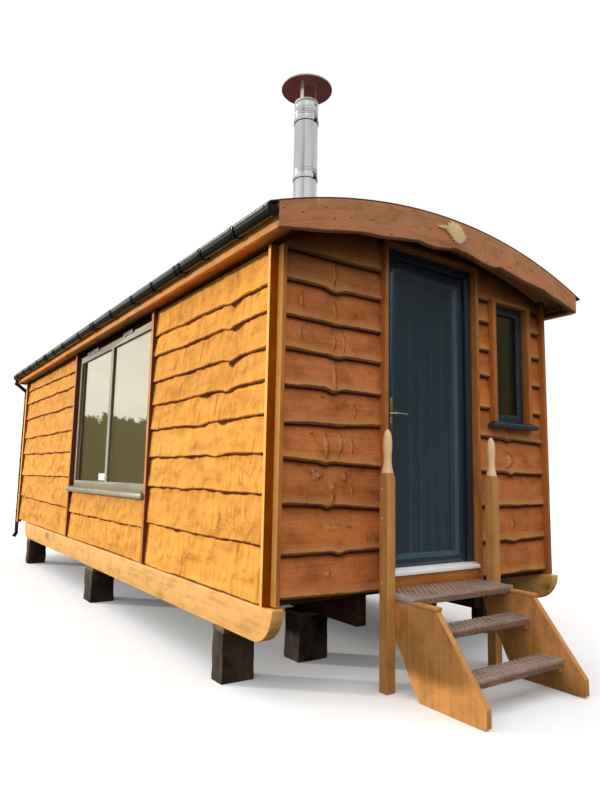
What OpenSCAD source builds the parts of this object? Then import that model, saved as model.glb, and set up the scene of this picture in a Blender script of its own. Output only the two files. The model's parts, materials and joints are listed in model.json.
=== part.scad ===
// Shepherd's hut on timber skids: a lapped waney-edge body under a bowed roof, with a stable
// flight of three steps to the door. The front faces -Y and the ground is at z = 0.

/* [Hut body] */
// Width over the wall frames
body_w = 2500; // [2300:10:2900]
// Length over the wall frames
body_l = 6900; // [6000:50:8400]
// Height of the side walls from the floor deck to the roof
side_wall_h = 2027; // [1990:5:2300]
// Thickness of the wall frames with their lining
wall_t = 100; // [80:5:140]

/* [Floor and skids] */
// Height of the sleeper piers
pier_h = 290; // [150:10:500]
// Width of a pier across the hut
pier_w = 225; // [150:5:260]
// Thickness of a pier along the hut
pier_d = 180; // [100:5:200]
// Thickness of the packing board on a pier
packing_t = 30; // [15:5:60]
// Height of the skids and the inner bearers
skid_h = 195; // [150:5:250]
// Thickness of a skid
skid_t = 75; // [50:5:100]
// Distance that a skid's face stands out from the wall frame
skid_out = 35; // [10:1:50]
// Distance that a skid runs forward of the wall frame
skid_front = 94; // [40:2:140]
// Distance that a skid stops short of the rear wall
skid_rear = 455; // [100:5:600]
// Distance of the front piers from the front wall
pier_front = 430; // [250:10:600]
// Distance of the rear piers from the rear wall
pier_rear = 705; // [660:5:1000]
// Distance of an inner bearer from the middle of the hut
bearer_x = 540; // [400:10:700]
// Height of the floor joists
joist_h = 85; // [70:5:150]
// Thickness of the floor joists
joist_t = 47; // [38:1:60]
// Spacing of the floor joists
joist_step = 600; // [400:50:800]
// Thickness of the floor deck
deck_t = 22; // [18:1:30]
// Thickness of the floor boards between the walls
floor_board_t = 18; // [12:1:22]

/* [Roof] */
// Radius of the bowed roof at the top of its deck
roof_r = 4000; // [3600:20:5000]
// Thickness of the roof from ceiling to deck
roof_t = 90; // [70:5:140]
// Thickness of the roof covering
cover_t = 8; // [5:1:20]
// Overhang of the eaves past the wall frame
eave_out = 152; // [120:2:250]
// Overhang of the gables past the wall frame
gable_out = 254; // [150:2:350]
// Height of the fascia boards
fascia_h = 145; // [120:5:180]
// Thickness of the fascias and bargeboards
fascia_t = 27; // [20:1:35]
// Thickness of the soffit boards
soffit_t = 12; // [9:1:20]
// Depth of the bargeboards at the middle
barge_d = 210; // [180:5:220]

/* [Rainwater] */
// Width of a gutter
gutter_w = 76; // [70:2:110]
// Depth of a gutter
gutter_d = 66; // [50:2:80]
// Distance of a gutter's top below the edge of the roof
gutter_drop = 33; // [28:1:50]
// Wall thickness of the gutters
gutter_t = 3; // [2:0.5:4]
// Distance that a gutter runs past the rear wall
gutter_rear = 190; // [120:5:240]
// Width of a gutter bracket
bracket_w = 30; // [20:2:40]
// Diameter of the downpipe
pipe_d = 50; // [50:2:70]

/* [Door] */
// Distance of the door's middle from the middle of the front
door_x = -10; // [-200:5:100]
// Width over the door frame
door_w = 854; // [800:2:960]
// Height of the door frame's head above the top of the side walls
door_head_up = 89; // [60:1:110]
// Depth of the door frame
door_frame_d = 70; // [60:2:90]
// Width of the frame's outer lip
door_lip_w = 58; // [50:1:70]
// Width of the frame behind its lip
door_jamb_w = 42; // [35:1:48]
// Thickness of the frame's lip
door_lip_t = 20; // [12:1:22]
// Thickness of the door leaf
leaf_t = 44; // [38:1:44]
// Gap round the door leaf
leaf_gap = 5; // [5:0.5:8]
// Height of the threshold
threshold_h = 37; // [25:1:50]
// Height of the door handle above the floor deck
handle_z = 1012; // [900:5:1100]

/* [Windows] */
// Distance of the side window's middle from the front wall
side_win_y = 2973; // [2400:10:3600]
// Width of the side window
side_win_w = 2288; // [1200:10:2600]
// Height of the side window's sill above the floor deck
side_sill_z = 453; // [400:5:500]
// Height of the vent strip between the side window and the eaves
vent_h = 50; // [30:2:60]
// Distance of the front window's middle from the side of the hut
front_win_in = 415; // [340:5:450]
// Width of the front window
front_win_w = 378; // [300:2:420]
// Height of the front window
front_win_h = 895; // [600:5:950]
// Distance of the front window's head below the door's head
front_win_down = 193; // [160:1:260]
// Depth of the window frames
win_frame_d = 60; // [50:2:80]
// Width of a window frame's rails and stiles
win_rail_w = 62; // [45:1:70]
// Thickness of the glazing
glass_t = 24; // [16:1:28]

/* [Cladding and battens] */
// Thickness of a cladding board at its lower edge
board_t = 32; // [22:1:34]
// Thickness of a cladding board at its upper edge
board_top_t = 12; // [8:1:16]
// Height of the waves along a waney edge
wane_h = 14; // [6:1:20]
// Distance that the cladding stops above the skids
clad_drop = 8; // [5:1:20]
// Width of the corner and door battens
batten_w = 28; // [20:1:40]
// Distance that the front battens stand out from the wall frame
front_batten_d = 70; // [50:2:90]
// Distance that the side battens stand out from the wall frame
side_batten_d = 56; // [50:1:70]
// Width of the battens beside the front window
front_trim_w = 38; // [28:1:45]
// Width of the battens beside the side window
side_trim_w = 46; // [28:1:55]

/* [Flue] */
// Diameter of the insulated flue
flue_d = 180; // [150:5:200]
// Diameter of the flue's bore
flue_bore = 125; // [100:5:130]
// Distance of the flue from the middle of the hut
flue_x = -594; // [-700:2:-300]
// Distance of the flue from the front wall
flue_y = 680; // [500:10:1200]
// Height of the flue's top above the side walls
flue_rise = 1393; // [1000:5:1700]
// Diameter of the cowl
cowl_d = 386; // [300:2:420]

/* [Steps] */
// Distance of the top tread below the floor deck
top_tread_down = 72; // [60:2:110]
// Distance that the top tread's front stands out from the wall frame
top_tread_out = 345; // [320:5:380]
// Distance that the middle tread's front stands out from the wall frame
mid_tread_out = 497; // [480:1:540]
// Distance that the lowest tread's front stands out from the wall frame
low_tread_out = 714; // [660:2:740]
// Distance that the stringers stand out from the wall frame
stair_out = 840; // [820:5:950]
// Depth of the two lower treads
tread_d = 145; // [120:5:180]
// Thickness of a tread
tread_t = 42; // [30:1:50]
// Width between the stringers' outer faces
stair_w = 900; // [850:5:950]
// Distance of the steps' middle from the middle of the front
stair_x = -55; // [-100:1:0]
// Thickness of a stringer
stringer_t = 38; // [30:1:45]
// Width of a newel post
newel_w = 65; // [55:1:75]
// Height of a newel post above the top tread
newel_rise = 963; // [850:5:1050]

/* [Hidden] */

// Clearance between curved faces that lie on each other
skin_gap = 0.3;
roof_fn = 720;

// Heights
skid_z = pier_h + packing_t;
joist_z = skid_z + skid_h;
deck_z = joist_z + joist_h;
floor_z = deck_z + deck_t;
clad_z = joist_z + clad_drop;
half_w = body_w / 2;

// The roof's arc, whose underside meets the outer top edge of the side walls
ceiling_r = roof_r - roof_t;
roof_cz = floor_z + side_wall_h - sqrt(pow(ceiling_r, 2) - pow(half_w, 2));
eave_x = half_w + eave_out;
function arc_z(r, x) = roof_cz + sqrt(pow(r, 2) - pow(x, 2));
eave_top_z = arc_z(roof_r, eave_x);
eave_z = eave_top_z - fascia_h;

// The middle of the whole part along the hut
mid_y = (body_l + gable_out - stair_out) / 2;

// Openings
door_x0 = door_x - door_w / 2;
door_x1 = door_x + door_w / 2;
door_top_z = floor_z + side_wall_h + door_head_up;
side_sill = floor_z + side_sill_z;
side_win_top = eave_z - vent_h;
front_win_top = door_top_z - front_win_down;
front_sill = front_win_top - front_win_h;

front_win_x = half_w - front_win_in;

// The door leaf, which lies behind the lip of its frame
lip_y = -20;
leaf_y = lip_y + door_lip_t + leaf_gap;
leaf_x0 = door_x0 + door_jamb_w + leaf_gap;
leaf_x1 = door_x1 - door_jamb_w - leaf_gap;
leaf_z0 = floor_z + threshold_h + leaf_gap;
leaf_z1 = door_top_z - door_jamb_w - leaf_gap;
hinge_r = 8;
hinge_x = leaf_x1;
hinge_y = leaf_y + leaf_t + hinge_r + 6;
hinge_len = 50;
hinge_pin_r = 3.5;
hinge_zs = [for (share = [0.09, 0.5, 0.86]) leaf_z0 + share * (leaf_z1 - leaf_z0)];

// Spindle of the door handle
spindle_x = leaf_x0 + 34;
spindle_z = floor_z + handle_z;

// The treads, from the lowest one up, at their shares of the whole height
top_tread_z = floor_z - top_tread_down;
tread_zs = [0.342 * top_tread_z, 0.705 * top_tread_z];
tread_outs = [low_tread_out, mid_tread_out];
stringer_top_z = top_tread_z - tread_t;
stair_x0 = stair_x - stair_w / 2;
stair_x1 = stair_x + stair_w / 2;
newel_y = -200;

// Puts a piece drawn from the front wall into the part's own frame
module placed() {
    translate([0, -mid_y, 0]) children();
}

// A box given by its lowest and highest corners
module box(a, b) {
    translate(a) cube([b[0] - a[0], b[1] - a[1], b[2] - a[2]]);
}

// Everything below the arc of radius r, from y0 to y1
module under_arc(r, y0, y1) {
    translate([0, y0, roof_cz]) rotate([-90, 0, 0]) cylinder(r = r, h = y1 - y0, $fn = roof_fn);
}

// The same piece on both sides of the hut
module both_sides() {
    children();
    mirror([1, 0, 0]) children();
}

// Piers under the skids and the inner bearers, with the height given
pier_rows = [pier_front, 0.449 * body_l, body_l - pier_rear - pier_d];
pier_shares = [0.78, 1.36, 1];
inner_w = 1.09 * pier_w;
skid_x = half_w + skid_out - skid_t;
pier_x = half_w + skid_out + 10 - pier_w;

module pier_blocks(z, h, grow) {
    both_sides() {
        for (i = [0 : 2])
            translate([pier_x - grow, pier_rows[i] - grow, z])
                cube([pier_w + grow, pier_shares[i] * pier_d + 2 * grow, h]);
        for (y = [pier_front + inner_w / 2, pier_rows[2]])
            translate([bearer_x - inner_w / 2, y - grow, z]) cube([inner_w, pier_d + 2 * grow, h]);
    }
}

module sleeper_piers() {
    color("dimgray") placed() pier_blocks(0, pier_h, 0);
}

module pier_packings() {
    color("sienna") placed() pier_blocks(pier_h, packing_t, 8);
}

// One beam along the hut, with its lower corners rounded like a sledge runner
module runner(x, y0, y1, r) {
    translate([x, 0, 0]) {
        box([0, y0 + r, skid_z], [skid_t, y1 - r, joist_z]);
        for (end = [y0 + r, y1 - r])
            intersection() {
                translate([0, end, skid_z + r]) rotate([0, 90, 0]) cylinder(r = r, h = skid_t, $fn = 96);
                box([0, y0, skid_z], [skid_t, y1, joist_z]);
            }
    }
}

module side_skids() {
    color("goldenrod") placed() both_sides()
        runner(skid_x, -skid_front, body_l - skid_rear, skid_h);
}

module inner_bearers() {
    color("peru") placed() both_sides()
        box([bearer_x - skid_t / 2, 60, skid_z], [bearer_x + skid_t / 2, body_l - skid_rear, joist_z]);
}

module floor_joists() {
    n = floor((body_l - joist_t) / joist_step);
    step = (body_l - joist_t) / n;
    color("saddlebrown") placed() {
        for (i = [0 : n])
            box([-half_w + joist_t, i * step, joist_z], [half_w - joist_t, i * step + joist_t, deck_z]);
        both_sides() box([half_w - joist_t, 0, joist_z], [half_w, body_l, deck_z]);
    }
}

module floor_deck() {
    color("burlywood") placed() box([-half_w, 0, deck_z], [half_w, body_l, floor_z]);
}

// Boards over the deck between the walls, with a gap round them for the timber to move
board_gap = 8;

module floor_boards() {
    in = wall_t + board_gap;
    color("burlywood") placed()
        box([-half_w + in, in, floor_z], [half_w - in, body_l - in, floor_z + floor_board_t]);
}

// A stretch of an end wall between x0 and x1, cut to the roof's arc
module end_wall(x0, x1, y0, z0) {
    intersection() {
        box([x0, y0, z0], [x1, y0 + wall_t, roof_cz + ceiling_r]);
        under_arc(ceiling_r - skin_gap, y0 - 1, y0 + wall_t + 1);
    }
}

module side_wall() {
    intersection() {
        box([half_w - wall_t, 0, floor_z], [half_w, body_l, roof_cz + ceiling_r]);
        under_arc(ceiling_r - skin_gap, -1, body_l + 1);
    }
}

module front_wall_left() {
    color("wheat") placed() end_wall(-half_w + wall_t, door_x0, 0, floor_z);
}

module front_wall_right() {
    color("wheat") placed() difference() {
        end_wall(door_x1, half_w - wall_t, 0, floor_z);
        box([front_win_x - front_win_w / 2, -1, front_sill],
            [front_win_x + front_win_w / 2, wall_t + 1, front_win_top]);
    }
}

module front_wall_over_door() {
    color("wheat") placed() end_wall(door_x0, door_x1, 0, door_top_z);
}

module left_wall() {
    color("wheat") placed() difference() {
        mirror([1, 0, 0]) side_wall();
        box([-half_w - 1, side_win_y - side_win_w / 2, side_sill],
            [-half_w + wall_t + 1, side_win_y + side_win_w / 2, eave_z]);
    }
}

module right_wall() {
    color("wheat") placed() side_wall();
}

module rear_wall() {
    color("wheat") placed() end_wall(-half_w + wall_t, half_w - wall_t, body_l - wall_t, floor_z);
}

// The bowed shell between two radii, out to a distance x from the middle
module bowed_shell(r0, r1, x, y0, y1) {
    intersection() {
        difference() {
            under_arc(r1, y0, y1);
            under_arc(r0, y0 - 1, y1 + 1);
        }
        box([-x, y0, eave_z], [x, y1, roof_cz + r1 + 1]);
    }
}

module flue_hole(gap) {
    translate([flue_x, flue_y, eave_z]) cylinder(d = flue_d + 2 * gap, h = fascia_h + roof_r / 4, $fn = 96);
}

module roof_deck() {
    color("tan") placed() difference() {
        bowed_shell(ceiling_r, roof_r, eave_x - fascia_t, -gable_out + fascia_t,
                    body_l + gable_out - fascia_t);
        flue_hole(skin_gap);
    }
}

// Distance that the sheet reaches over the gutters
cover_out = 0.8 * gutter_w;

module roof_covering() {
    color("darkslategray") placed() difference() {
        bowed_shell(roof_r + skin_gap, roof_r + skin_gap + cover_t, eave_x + cover_out, -gable_out,
                    body_l + gable_out);
        flue_hole(skin_gap);
    }
}

// Depth of the bargeboard along its length, as shares of half the width and of the middle depth
barge_shares = [[-1, 0.71], [-0.77, 0.93], [-0.59, 0.96], [-0.46, 1.05], [-0.25, 0.99], [-0.14, 1.09],
              [-0.05, 1.01], [0, 0.92], [0.09, 0.97], [0.22, 1.08], [0.28, 1.05], [0.33, 0.94],
              [0.54, 0.95], [0.69, 0.81], [0.78, 0.81], [0.87, 0.74], [1, 0.67]];

module bargeboard(y0) {
    intersection() {
        under_arc(roof_r, y0, y0 + fascia_t);
        translate([0, y0 + fascia_t, 0]) rotate([90, 0, 0]) linear_extrude(fascia_t)
            polygon(concat(
                [for (p = barge_shares) [p[0] * eave_x, arc_z(roof_r, p[0] * eave_x) - p[1] * barge_d]],
                [[eave_x, roof_cz + roof_r + 1], [-eave_x, roof_cz + roof_r + 1]]));
    }
}

module front_bargeboard() {
    color("peru") placed() bargeboard(-gable_out);
}

module rear_bargeboard() {
    color("peru") placed() bargeboard(body_l + gable_out - fascia_t);
}

module fascias() {
    color("goldenrod") placed() both_sides()
        box([eave_x - fascia_t, -gable_out + fascia_t, eave_z],
            [eave_x, body_l + gable_out - fascia_t, eave_top_z]);
}

module soffits() {
    color("saddlebrown") placed() both_sides()
        box([half_w, -gable_out + fascia_t, eave_z], [eave_x - fascia_t, body_l + gable_out - fascia_t,
             eave_z + soffit_t]);
}

// Outline of a gutter seen along the hut: straight sides over a half round
module gutter_outline(grow) {
    r = gutter_w / 2 - grow;
    circle(r = r, $fn = 64);
    translate([-r, 0]) square([2 * r, gutter_d - gutter_w / 2]);
}

gutter_x = eave_x + gutter_w / 2 + skin_gap;
gutter_z = eave_top_z - gutter_drop - gutter_d + gutter_w / 2;

gutter_l = body_l + gable_out + gutter_rear;

module gutters() {
    color("black") placed() both_sides() difference() {
        translate([gutter_x, gutter_l - gable_out, gutter_z]) rotate([90, 0, 0])
            linear_extrude(gutter_l) gutter_outline(0);
        translate([gutter_x, gutter_l - gable_out - gutter_t, gutter_z]) rotate([90, 0, 0])
            linear_extrude(gutter_l - 2 * gutter_t) gutter_outline(gutter_t);
        translate([gutter_x - gutter_w, -gable_out - 1, gutter_z + gutter_d - gutter_w / 2 - 0.01])
            cube([2 * gutter_w, gutter_l + 2, gutter_d]);
    }
}

bracket_t = 4;

// Places of the brackets as shares of the gutter's length, with a pair at each union
bracket_shares = [0.055, 0.115, 0.16, 0.17, 0.23, 0.291, 0.366, 0.438, 0.448, 0.511, 0.599, 0.66,
                  0.713, 0.723, 0.782, 0.844, 0.905, 0.967];

module gutter_brackets() {
    color("black") placed() both_sides() for (share = bracket_shares)
        translate([gutter_x, -gable_out + share * gutter_l + bracket_w / 2, gutter_z])
            rotate([90, 0, 0]) difference() {
                linear_extrude(bracket_w) intersection() {
                    gutter_outline(-bracket_t);
                    translate([-gutter_w / 2 - skin_gap, -gutter_w])
                        square([2 * gutter_w, gutter_w + gutter_d - gutter_w / 2]);
                }
                translate([0, 0, -1]) linear_extrude(bracket_w + 2) gutter_outline(-skin_gap);
            }
}

// The downpipe drops from the gutter's rear end and bends back to the corner batten
pipe_x = half_w + side_batten_d - 14;
pipe_y = body_l + front_batten_d + 8 + pipe_d / 2;
pipe_top_z = eave_z - 0.875 * fascia_h;
pipe_foot_z = 330;
pipe_band = 4;
// Diameter of the sockets at the bends
elbow_d = pipe_d + 2 * pipe_band;
shoe_out = 60;
pipe_clip_zs = [for (share = [0.14, 0.5, 0.95]) pipe_foot_z + share * (pipe_top_z - pipe_foot_z)];

module pipe_run(a, b, d) {
    dx = b[0] - a[0];
    dz = b[1] - a[1];
    translate([a[0], pipe_y, a[1]]) rotate([0, atan2(dx, dz), 0])
        cylinder(d = d, h = sqrt(dx * dx + dz * dz), $fn = 48);
}

module downpipe() {
    outlet_z = gutter_z - gutter_w / 2 - skin_gap;
    neck_z = outlet_z - shoe_out;
    pipe_run([gutter_x, neck_z], [gutter_x, outlet_z], pipe_d);
    translate([gutter_x, pipe_y, outlet_z - shoe_out / 3])
        cylinder(d = pipe_d + 3 * pipe_band, h = shoe_out / 3, $fn = 48);
    translate([gutter_x, pipe_y, neck_z]) sphere(d = elbow_d, $fn = 48);
    pipe_run([gutter_x, neck_z], [pipe_x, pipe_top_z], pipe_d);
    translate([pipe_x, pipe_y, pipe_top_z]) sphere(d = elbow_d, $fn = 48);
    pipe_run([pipe_x, pipe_foot_z], [pipe_x, pipe_top_z], pipe_d);
    translate([pipe_x, pipe_y, pipe_foot_z]) sphere(d = elbow_d, $fn = 48);
    pipe_run([pipe_x, pipe_foot_z], [pipe_x + shoe_out / 2, pipe_foot_z - shoe_out], pipe_d + pipe_band);
    for (z = pipe_clip_zs) {
        translate([pipe_x, pipe_y, z]) cylinder(d = pipe_d + 2 * pipe_band, h = 30, $fn = 48);
        box([pipe_x - 12, body_l + front_batten_d, z], [pipe_x + 12, pipe_y, z + 30]);
    }
}

module downpipes() {
    color("black") placed() both_sides() downpipe();
}

// Shares of the height that each course of boards shows, from the bottom
front_left_courses = [252, 265, 260, 230, 205, 205, 200, 215, 190, 155, 154];
front_right_courses = [261, 248, 241, 247, 215, 231, 206, 203, 175, 150, 154];
side_near_courses = [312, 285, 225, 215, 200, 190, 210, 165, 220];
side_far_courses = [325, 322, 292, 238, 278, 227, 183, 157];
sill_courses = [267, 190];

function total(list, i) = i == 0 ? 0 : list[i - 1] + total(list, i - 1);
function course_z(list, i, z0, z1) = z0 + (z1 - z0) * total(list, i) / total(list, len(list));

// Waviness of the lower edge of course i at a distance x along the wall, from 0 to 1
function wane(i, x) = 0.5 + 0.3 * sin(x * 0.31 + i * 77) + 0.2 * sin(x * 0.83 + i * 131);

wane_step = 190;

// Lapped boards between x0 and x1 that stand out from the plane y = 0 towards -Y
module lapped_boards(x0, x1, z0, z1, courses, seed) {
    n = max(2, ceil((x1 - x0) / wane_step));
    for (i = [0 : len(courses) - 1]) {
        zb = course_z(courses, i, z0, z1);
        zt = course_z(courses, i + 1, z0, z1);
        lap = i == len(courses) - 1 ? 0 : wane_h;
        intersection() {
            translate([x0, 0, 0]) rotate([90, 0, 90]) linear_extrude(x1 - x0)
                polygon([[0, zb], [-board_t, zb], [-board_top_t, zt + lap], [0, zt + lap]]);
            translate([0, 1, 0]) rotate([90, 0, 0]) linear_extrude(board_t + 2)
                polygon(concat([for (k = [0 : n]) let (x = x0 + (x1 - x0) * k / n)
                                    [x, zb + (i == 0 ? 0.3 : 1) * wane_h * wane(i + seed, x)]],
                               [[x1, zt + lap], [x0, zt + lap]]));
        }
    }
}

clad_x = half_w - batten_w;

// Boards on the front wall between x0 and x1, from a height z0 up to the roof
module front_boards(x0, x1, z0, courses, seed) {
    intersection() {
        lapped_boards(x0, x1, z0, roof_cz + ceiling_r, courses, seed);
        under_arc(ceiling_r - skin_gap, -board_t - 1, 1);
    }
}

module front_cladding() {
    fx0 = front_win_x - front_win_w / 2 - front_trim_w;
    fx1 = front_win_x + front_win_w / 2 + front_trim_w;
    color("sienna") placed() {
        front_boards(-clad_x, door_x0 - batten_w, clad_z, front_left_courses, 0);
        difference() {
            front_boards(door_x1 + batten_w, clad_x, clad_z, front_right_courses, 3);
            box([fx0, -board_t - 1, front_sill - front_sill_t], [fx1, 1, front_win_top + batten_w]);
        }
        front_boards(door_x0 - batten_w + skin_gap, door_x1 + batten_w - skin_gap,
                     door_top_z + batten_w, [1], 4);
    }
}

side_clad_y = 6;

// Boards on the left wall between two distances from the front wall
module left_boards(y0, y1, z0, z1, courses, seed) {
    translate([-half_w, 0, 0]) rotate([0, 0, -90]) mirror([1, 0, 0])
        lapped_boards(y0, y1, z0, z1, courses, seed);
}

module left_cladding() {
    y0 = side_win_y - side_win_w / 2;
    y1 = side_win_y + side_win_w / 2;
    color("goldenrod") placed() {
        left_boards(side_clad_y, y0 - side_trim_w, clad_z, eave_z, side_near_courses, 5);
        left_boards(y1 + side_trim_w, body_l - side_clad_y, clad_z, eave_z, side_far_courses, 9);
        left_boards(y0, y1, clad_z, side_sill - side_sill_t, sill_courses, 12);
    }
}

module right_cladding() {
    color("peru") placed() mirror([1, 0, 0])
        left_boards(side_clad_y, body_l - side_clad_y, clad_z, eave_z, side_near_courses, 2);
}

module rear_cladding() {
    color("peru") placed() translate([0, body_l, 0]) rotate([0, 0, 180])
        front_boards(-clad_x, clad_x, clad_z, front_left_courses, 7);
}

side_batten_y = -22;
rear_drop = 34;

// The batten on the end wall at a corner, cut to the roof's arc
module end_batten() {
    intersection() {
        box([half_w - batten_w, -front_batten_d, clad_z], [half_w, 0, roof_cz + roof_r]);
        under_arc(ceiling_r - skin_gap, -front_batten_d - 1, 1);
    }
}

module corner_battens() {
    color("chocolate") placed() both_sides() {
        end_batten();
        box([half_w, side_batten_y, clad_z],
            [half_w + side_batten_d, side_batten_y + batten_w, eave_z]);
        translate([0, body_l, 0]) mirror([0, 1, 0]) end_batten();
        box([half_w, body_l - side_clad_y, clad_z - rear_drop],
            [half_w + side_batten_d, body_l + front_batten_d, eave_z]);
    }
}

module door_battens() {
    color("chocolate") placed() {
        for (x = [door_x0 - batten_w, door_x1])
            box([x, -front_batten_d, clad_z], [x + batten_w, 0, door_top_z]);
        box([door_x0 - batten_w, -front_batten_d, door_top_z],
            [door_x1 + batten_w, 0, door_top_z + batten_w]);
        box([door_x0, -0.7 * front_batten_d, clad_z], [door_x1, 0, floor_z]);
    }
}

module window_battens() {
    y0 = side_win_y - side_win_w / 2;
    y1 = side_win_y + side_win_w / 2;
    fx0 = front_win_x - front_win_w / 2;
    fx1 = front_win_x + front_win_w / 2;
    color("chocolate") placed() {
        for (y = [y0 - side_trim_w, y1])
            box([-half_w - side_batten_d, y, clad_z], [-half_w, y + side_trim_w, eave_z]);
        for (x = [fx0 - front_trim_w, fx1])
            box([x, -front_batten_d, front_sill], [x + front_trim_w, 0, front_win_top]);
        box([fx0 - front_trim_w, -front_batten_d, front_win_top],
            [fx1 + front_trim_w, 0, front_win_top + batten_w]);
    }
}

side_sill_t = 56;
front_sill_t = 46;
sill_out = 26;
sill_fall = 14;
side_ear = 16;
front_ear = 32;

// Outline of a sill in cross-section, level under the battens and falling to its nose
module sill_outline(t, out) {
    polygon([[0, -t], [out, -t], [out, -sill_fall], [out - sill_out, 0], [0, 0]]);
}

module window_sills() {
    y0 = side_win_y - side_win_w / 2;
    fx0 = front_win_x - front_win_w / 2 - front_trim_w;
    out = side_batten_d + sill_out;
    front_out = front_batten_d + sill_out;
    color("slategray") placed() {
        translate([-half_w, y0 + side_win_w, side_sill]) rotate([90, 0, 0])
            linear_extrude(side_win_w) mirror([1, 0, 0]) sill_outline(side_sill_t, out);
        box([-half_w - out, y0 - side_ear, side_sill - side_sill_t],
            [-half_w - side_batten_d, y0 + side_win_w + side_ear, side_sill - sill_fall]);
        translate([fx0, 0, front_sill]) rotate([90, 0, 90])
            linear_extrude(front_win_w + 2 * front_trim_w) mirror([1, 0, 0])
                sill_outline(front_sill_t, front_out);
        box([fx0 - front_ear, -front_out, front_sill - front_sill_t],
            [fx0 + front_win_w + 2 * front_trim_w + front_ear, -board_t, front_sill - sill_fall]);
    }
}

module door_frame() {
    z0 = floor_z + threshold_h;
    color("darkslategray") placed() difference() {
        box([door_x0, lip_y, z0], [door_x1, lip_y + door_frame_d, door_top_z]);
        box([door_x0 + door_lip_w, lip_y - 1, z0 - 1],
            [door_x1 - door_lip_w, lip_y + door_frame_d + 1, door_top_z - door_lip_w]);
        box([door_x0 + door_jamb_w, lip_y + door_lip_t, z0 - 1],
            [door_x1 - door_jamb_w, lip_y + door_frame_d + 1, door_top_z - door_jamb_w]);
    }
}

module threshold() {
    color("gainsboro") placed() translate([door_x0, 0, floor_z]) rotate([90, 0, 90])
        linear_extrude(door_w) polygon([[-front_batten_d, 0], [lip_y + door_frame_d, 0],
            [lip_y + door_frame_d, threshold_h], [lip_y, threshold_h],
            [-front_batten_d, threshold_h * 0.6]]);
}

// Widths of the leaf's plain border at its sides, foot and head
leaf_border = 78;
leaf_foot = 45;
leaf_head = 98;
bead_w = 34;
panel_in = 8;
groove_step = 100;
groove_w = 5;

// The sunk panel between its sloping beads, grown by a distance past the leaf's face
module panel_recess(px0, px1, z0, z1) {
    intersection() {
        translate([0, 0, z0]) linear_extrude(z1 - z0)
            polygon([[px0, leaf_y], [px1, leaf_y], [px1 - bead_w, leaf_y + panel_in],
                     [px0 + bead_w, leaf_y + panel_in]]);
        translate([px0, 0, 0]) rotate([90, 0, 90]) linear_extrude(px1 - px0)
            polygon([[leaf_y, z0], [leaf_y + panel_in, z0 + bead_w],
                     [leaf_y + panel_in, z1 - bead_w], [leaf_y, z1]]);
    }
}

module door_leaf() {
    px0 = leaf_x0 + leaf_border;
    px1 = leaf_x1 - leaf_border;
    pz0 = leaf_z0 + leaf_foot;
    pz1 = leaf_z1 - leaf_head;
    color("darkslategray") placed() difference() {
        box([leaf_x0, leaf_y, leaf_z0], [leaf_x1, leaf_y + leaf_t, leaf_z1]);
        panel_recess(px0, px1, pz0, pz1);
        for (x = [px0 + bead_w + groove_step : groove_step : px1 - bead_w - groove_w])
            box([x, leaf_y + panel_in / 2, pz0 + bead_w],
                [x + groove_w, leaf_y + panel_in + groove_w, pz1 - bead_w]);
        translate([spindle_x, leaf_y - 1, spindle_z]) rotate([-90, 0, 0])
            cylinder(d = spindle_hole, h = leaf_t + 2, $fn = 48);
    }
}

spindle_d = 10;
spindle_hole = 21;
plate_w = 28;
plate_h = 208;
plate_t = 8;
flag_t = 3;

// The upper half of each hinge, which turns with the leaf
module door_hinges() {
    color("silver") placed() for (z = hinge_zs) translate([0, 0, z]) difference() {
        union() {
            translate([hinge_x, hinge_y, 0]) cylinder(r = hinge_r, h = hinge_len, $fn = 48);
            box([leaf_x1 - 40, leaf_y + leaf_t, 0], [leaf_x1, leaf_y + leaf_t + flag_t, hinge_len]);
            box([leaf_x1 - hinge_r, leaf_y + leaf_t, 0], [leaf_x1, hinge_y, hinge_len]);
        }
        translate([hinge_x, hinge_y, -1]) cylinder(r = hinge_pin_r + skin_gap, h = hinge_len, $fn = 48);
    }
}

// The lower half of each hinge, which stays on the frame
module frame_hinges() {
    rear_y = lip_y + door_frame_d;
    color("silver") placed() for (z = hinge_zs) translate([0, 0, z - hinge_len - skin_gap]) {
        translate([hinge_x, hinge_y, 0]) cylinder(r = hinge_r, h = hinge_len, $fn = 48);
        translate([hinge_x, hinge_y, 0]) cylinder(r = hinge_pin_r, h = hinge_len * 1.8, $fn = 48);
        box([hinge_x, hinge_y - flag_t / 2, 0], [door_x1 - 12, hinge_y + flag_t / 2, hinge_len]);
        box([door_x1 - 12 - flag_t, rear_y, 0], [door_x1 - 12, hinge_y, hinge_len]);
    }
}

module handle_plates() {
    color("silver") placed() for (y = [leaf_y - plate_t, leaf_y + leaf_t]) difference() {
        box([spindle_x - plate_w / 2, y, spindle_z - plate_h / 2],
            [spindle_x + plate_w / 2, y + plate_t, spindle_z + plate_h / 2]);
        translate([spindle_x, y - 1, spindle_z]) rotate([-90, 0, 0])
            cylinder(d = spindle_d + 2 * skin_gap, h = plate_t + 2, $fn = 48);
    }
}

lever_l = 112;
lever_d = 16;
lever_out = 42;
lever_clear = 1;

// One lever: a turned neck from the spindle and a round arm with a domed end
module lever_side() {
    translate([0, 0, lever_clear]) cylinder(d = lever_d + 4, h = 5, $fn = 48);
    translate([0, 0, lever_clear]) cylinder(d = lever_d, h = lever_out + 2 - lever_clear, $fn = 48);
    translate([-lever_d / 2 + 1, 0, lever_out]) rotate([0, 90, 0])
        rotate_extrude($fn = 48) polygon([[0, 0], [lever_d / 2 - 2, 0], [lever_d / 2 + 1, 3],
            [lever_d / 2 + 1, 14], [lever_d / 2 - 1, 40], [lever_d / 2 - 1, lever_l],
            [lever_d / 2 - 3, lever_l + 5], [0, lever_l + 7]]);
}

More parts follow.
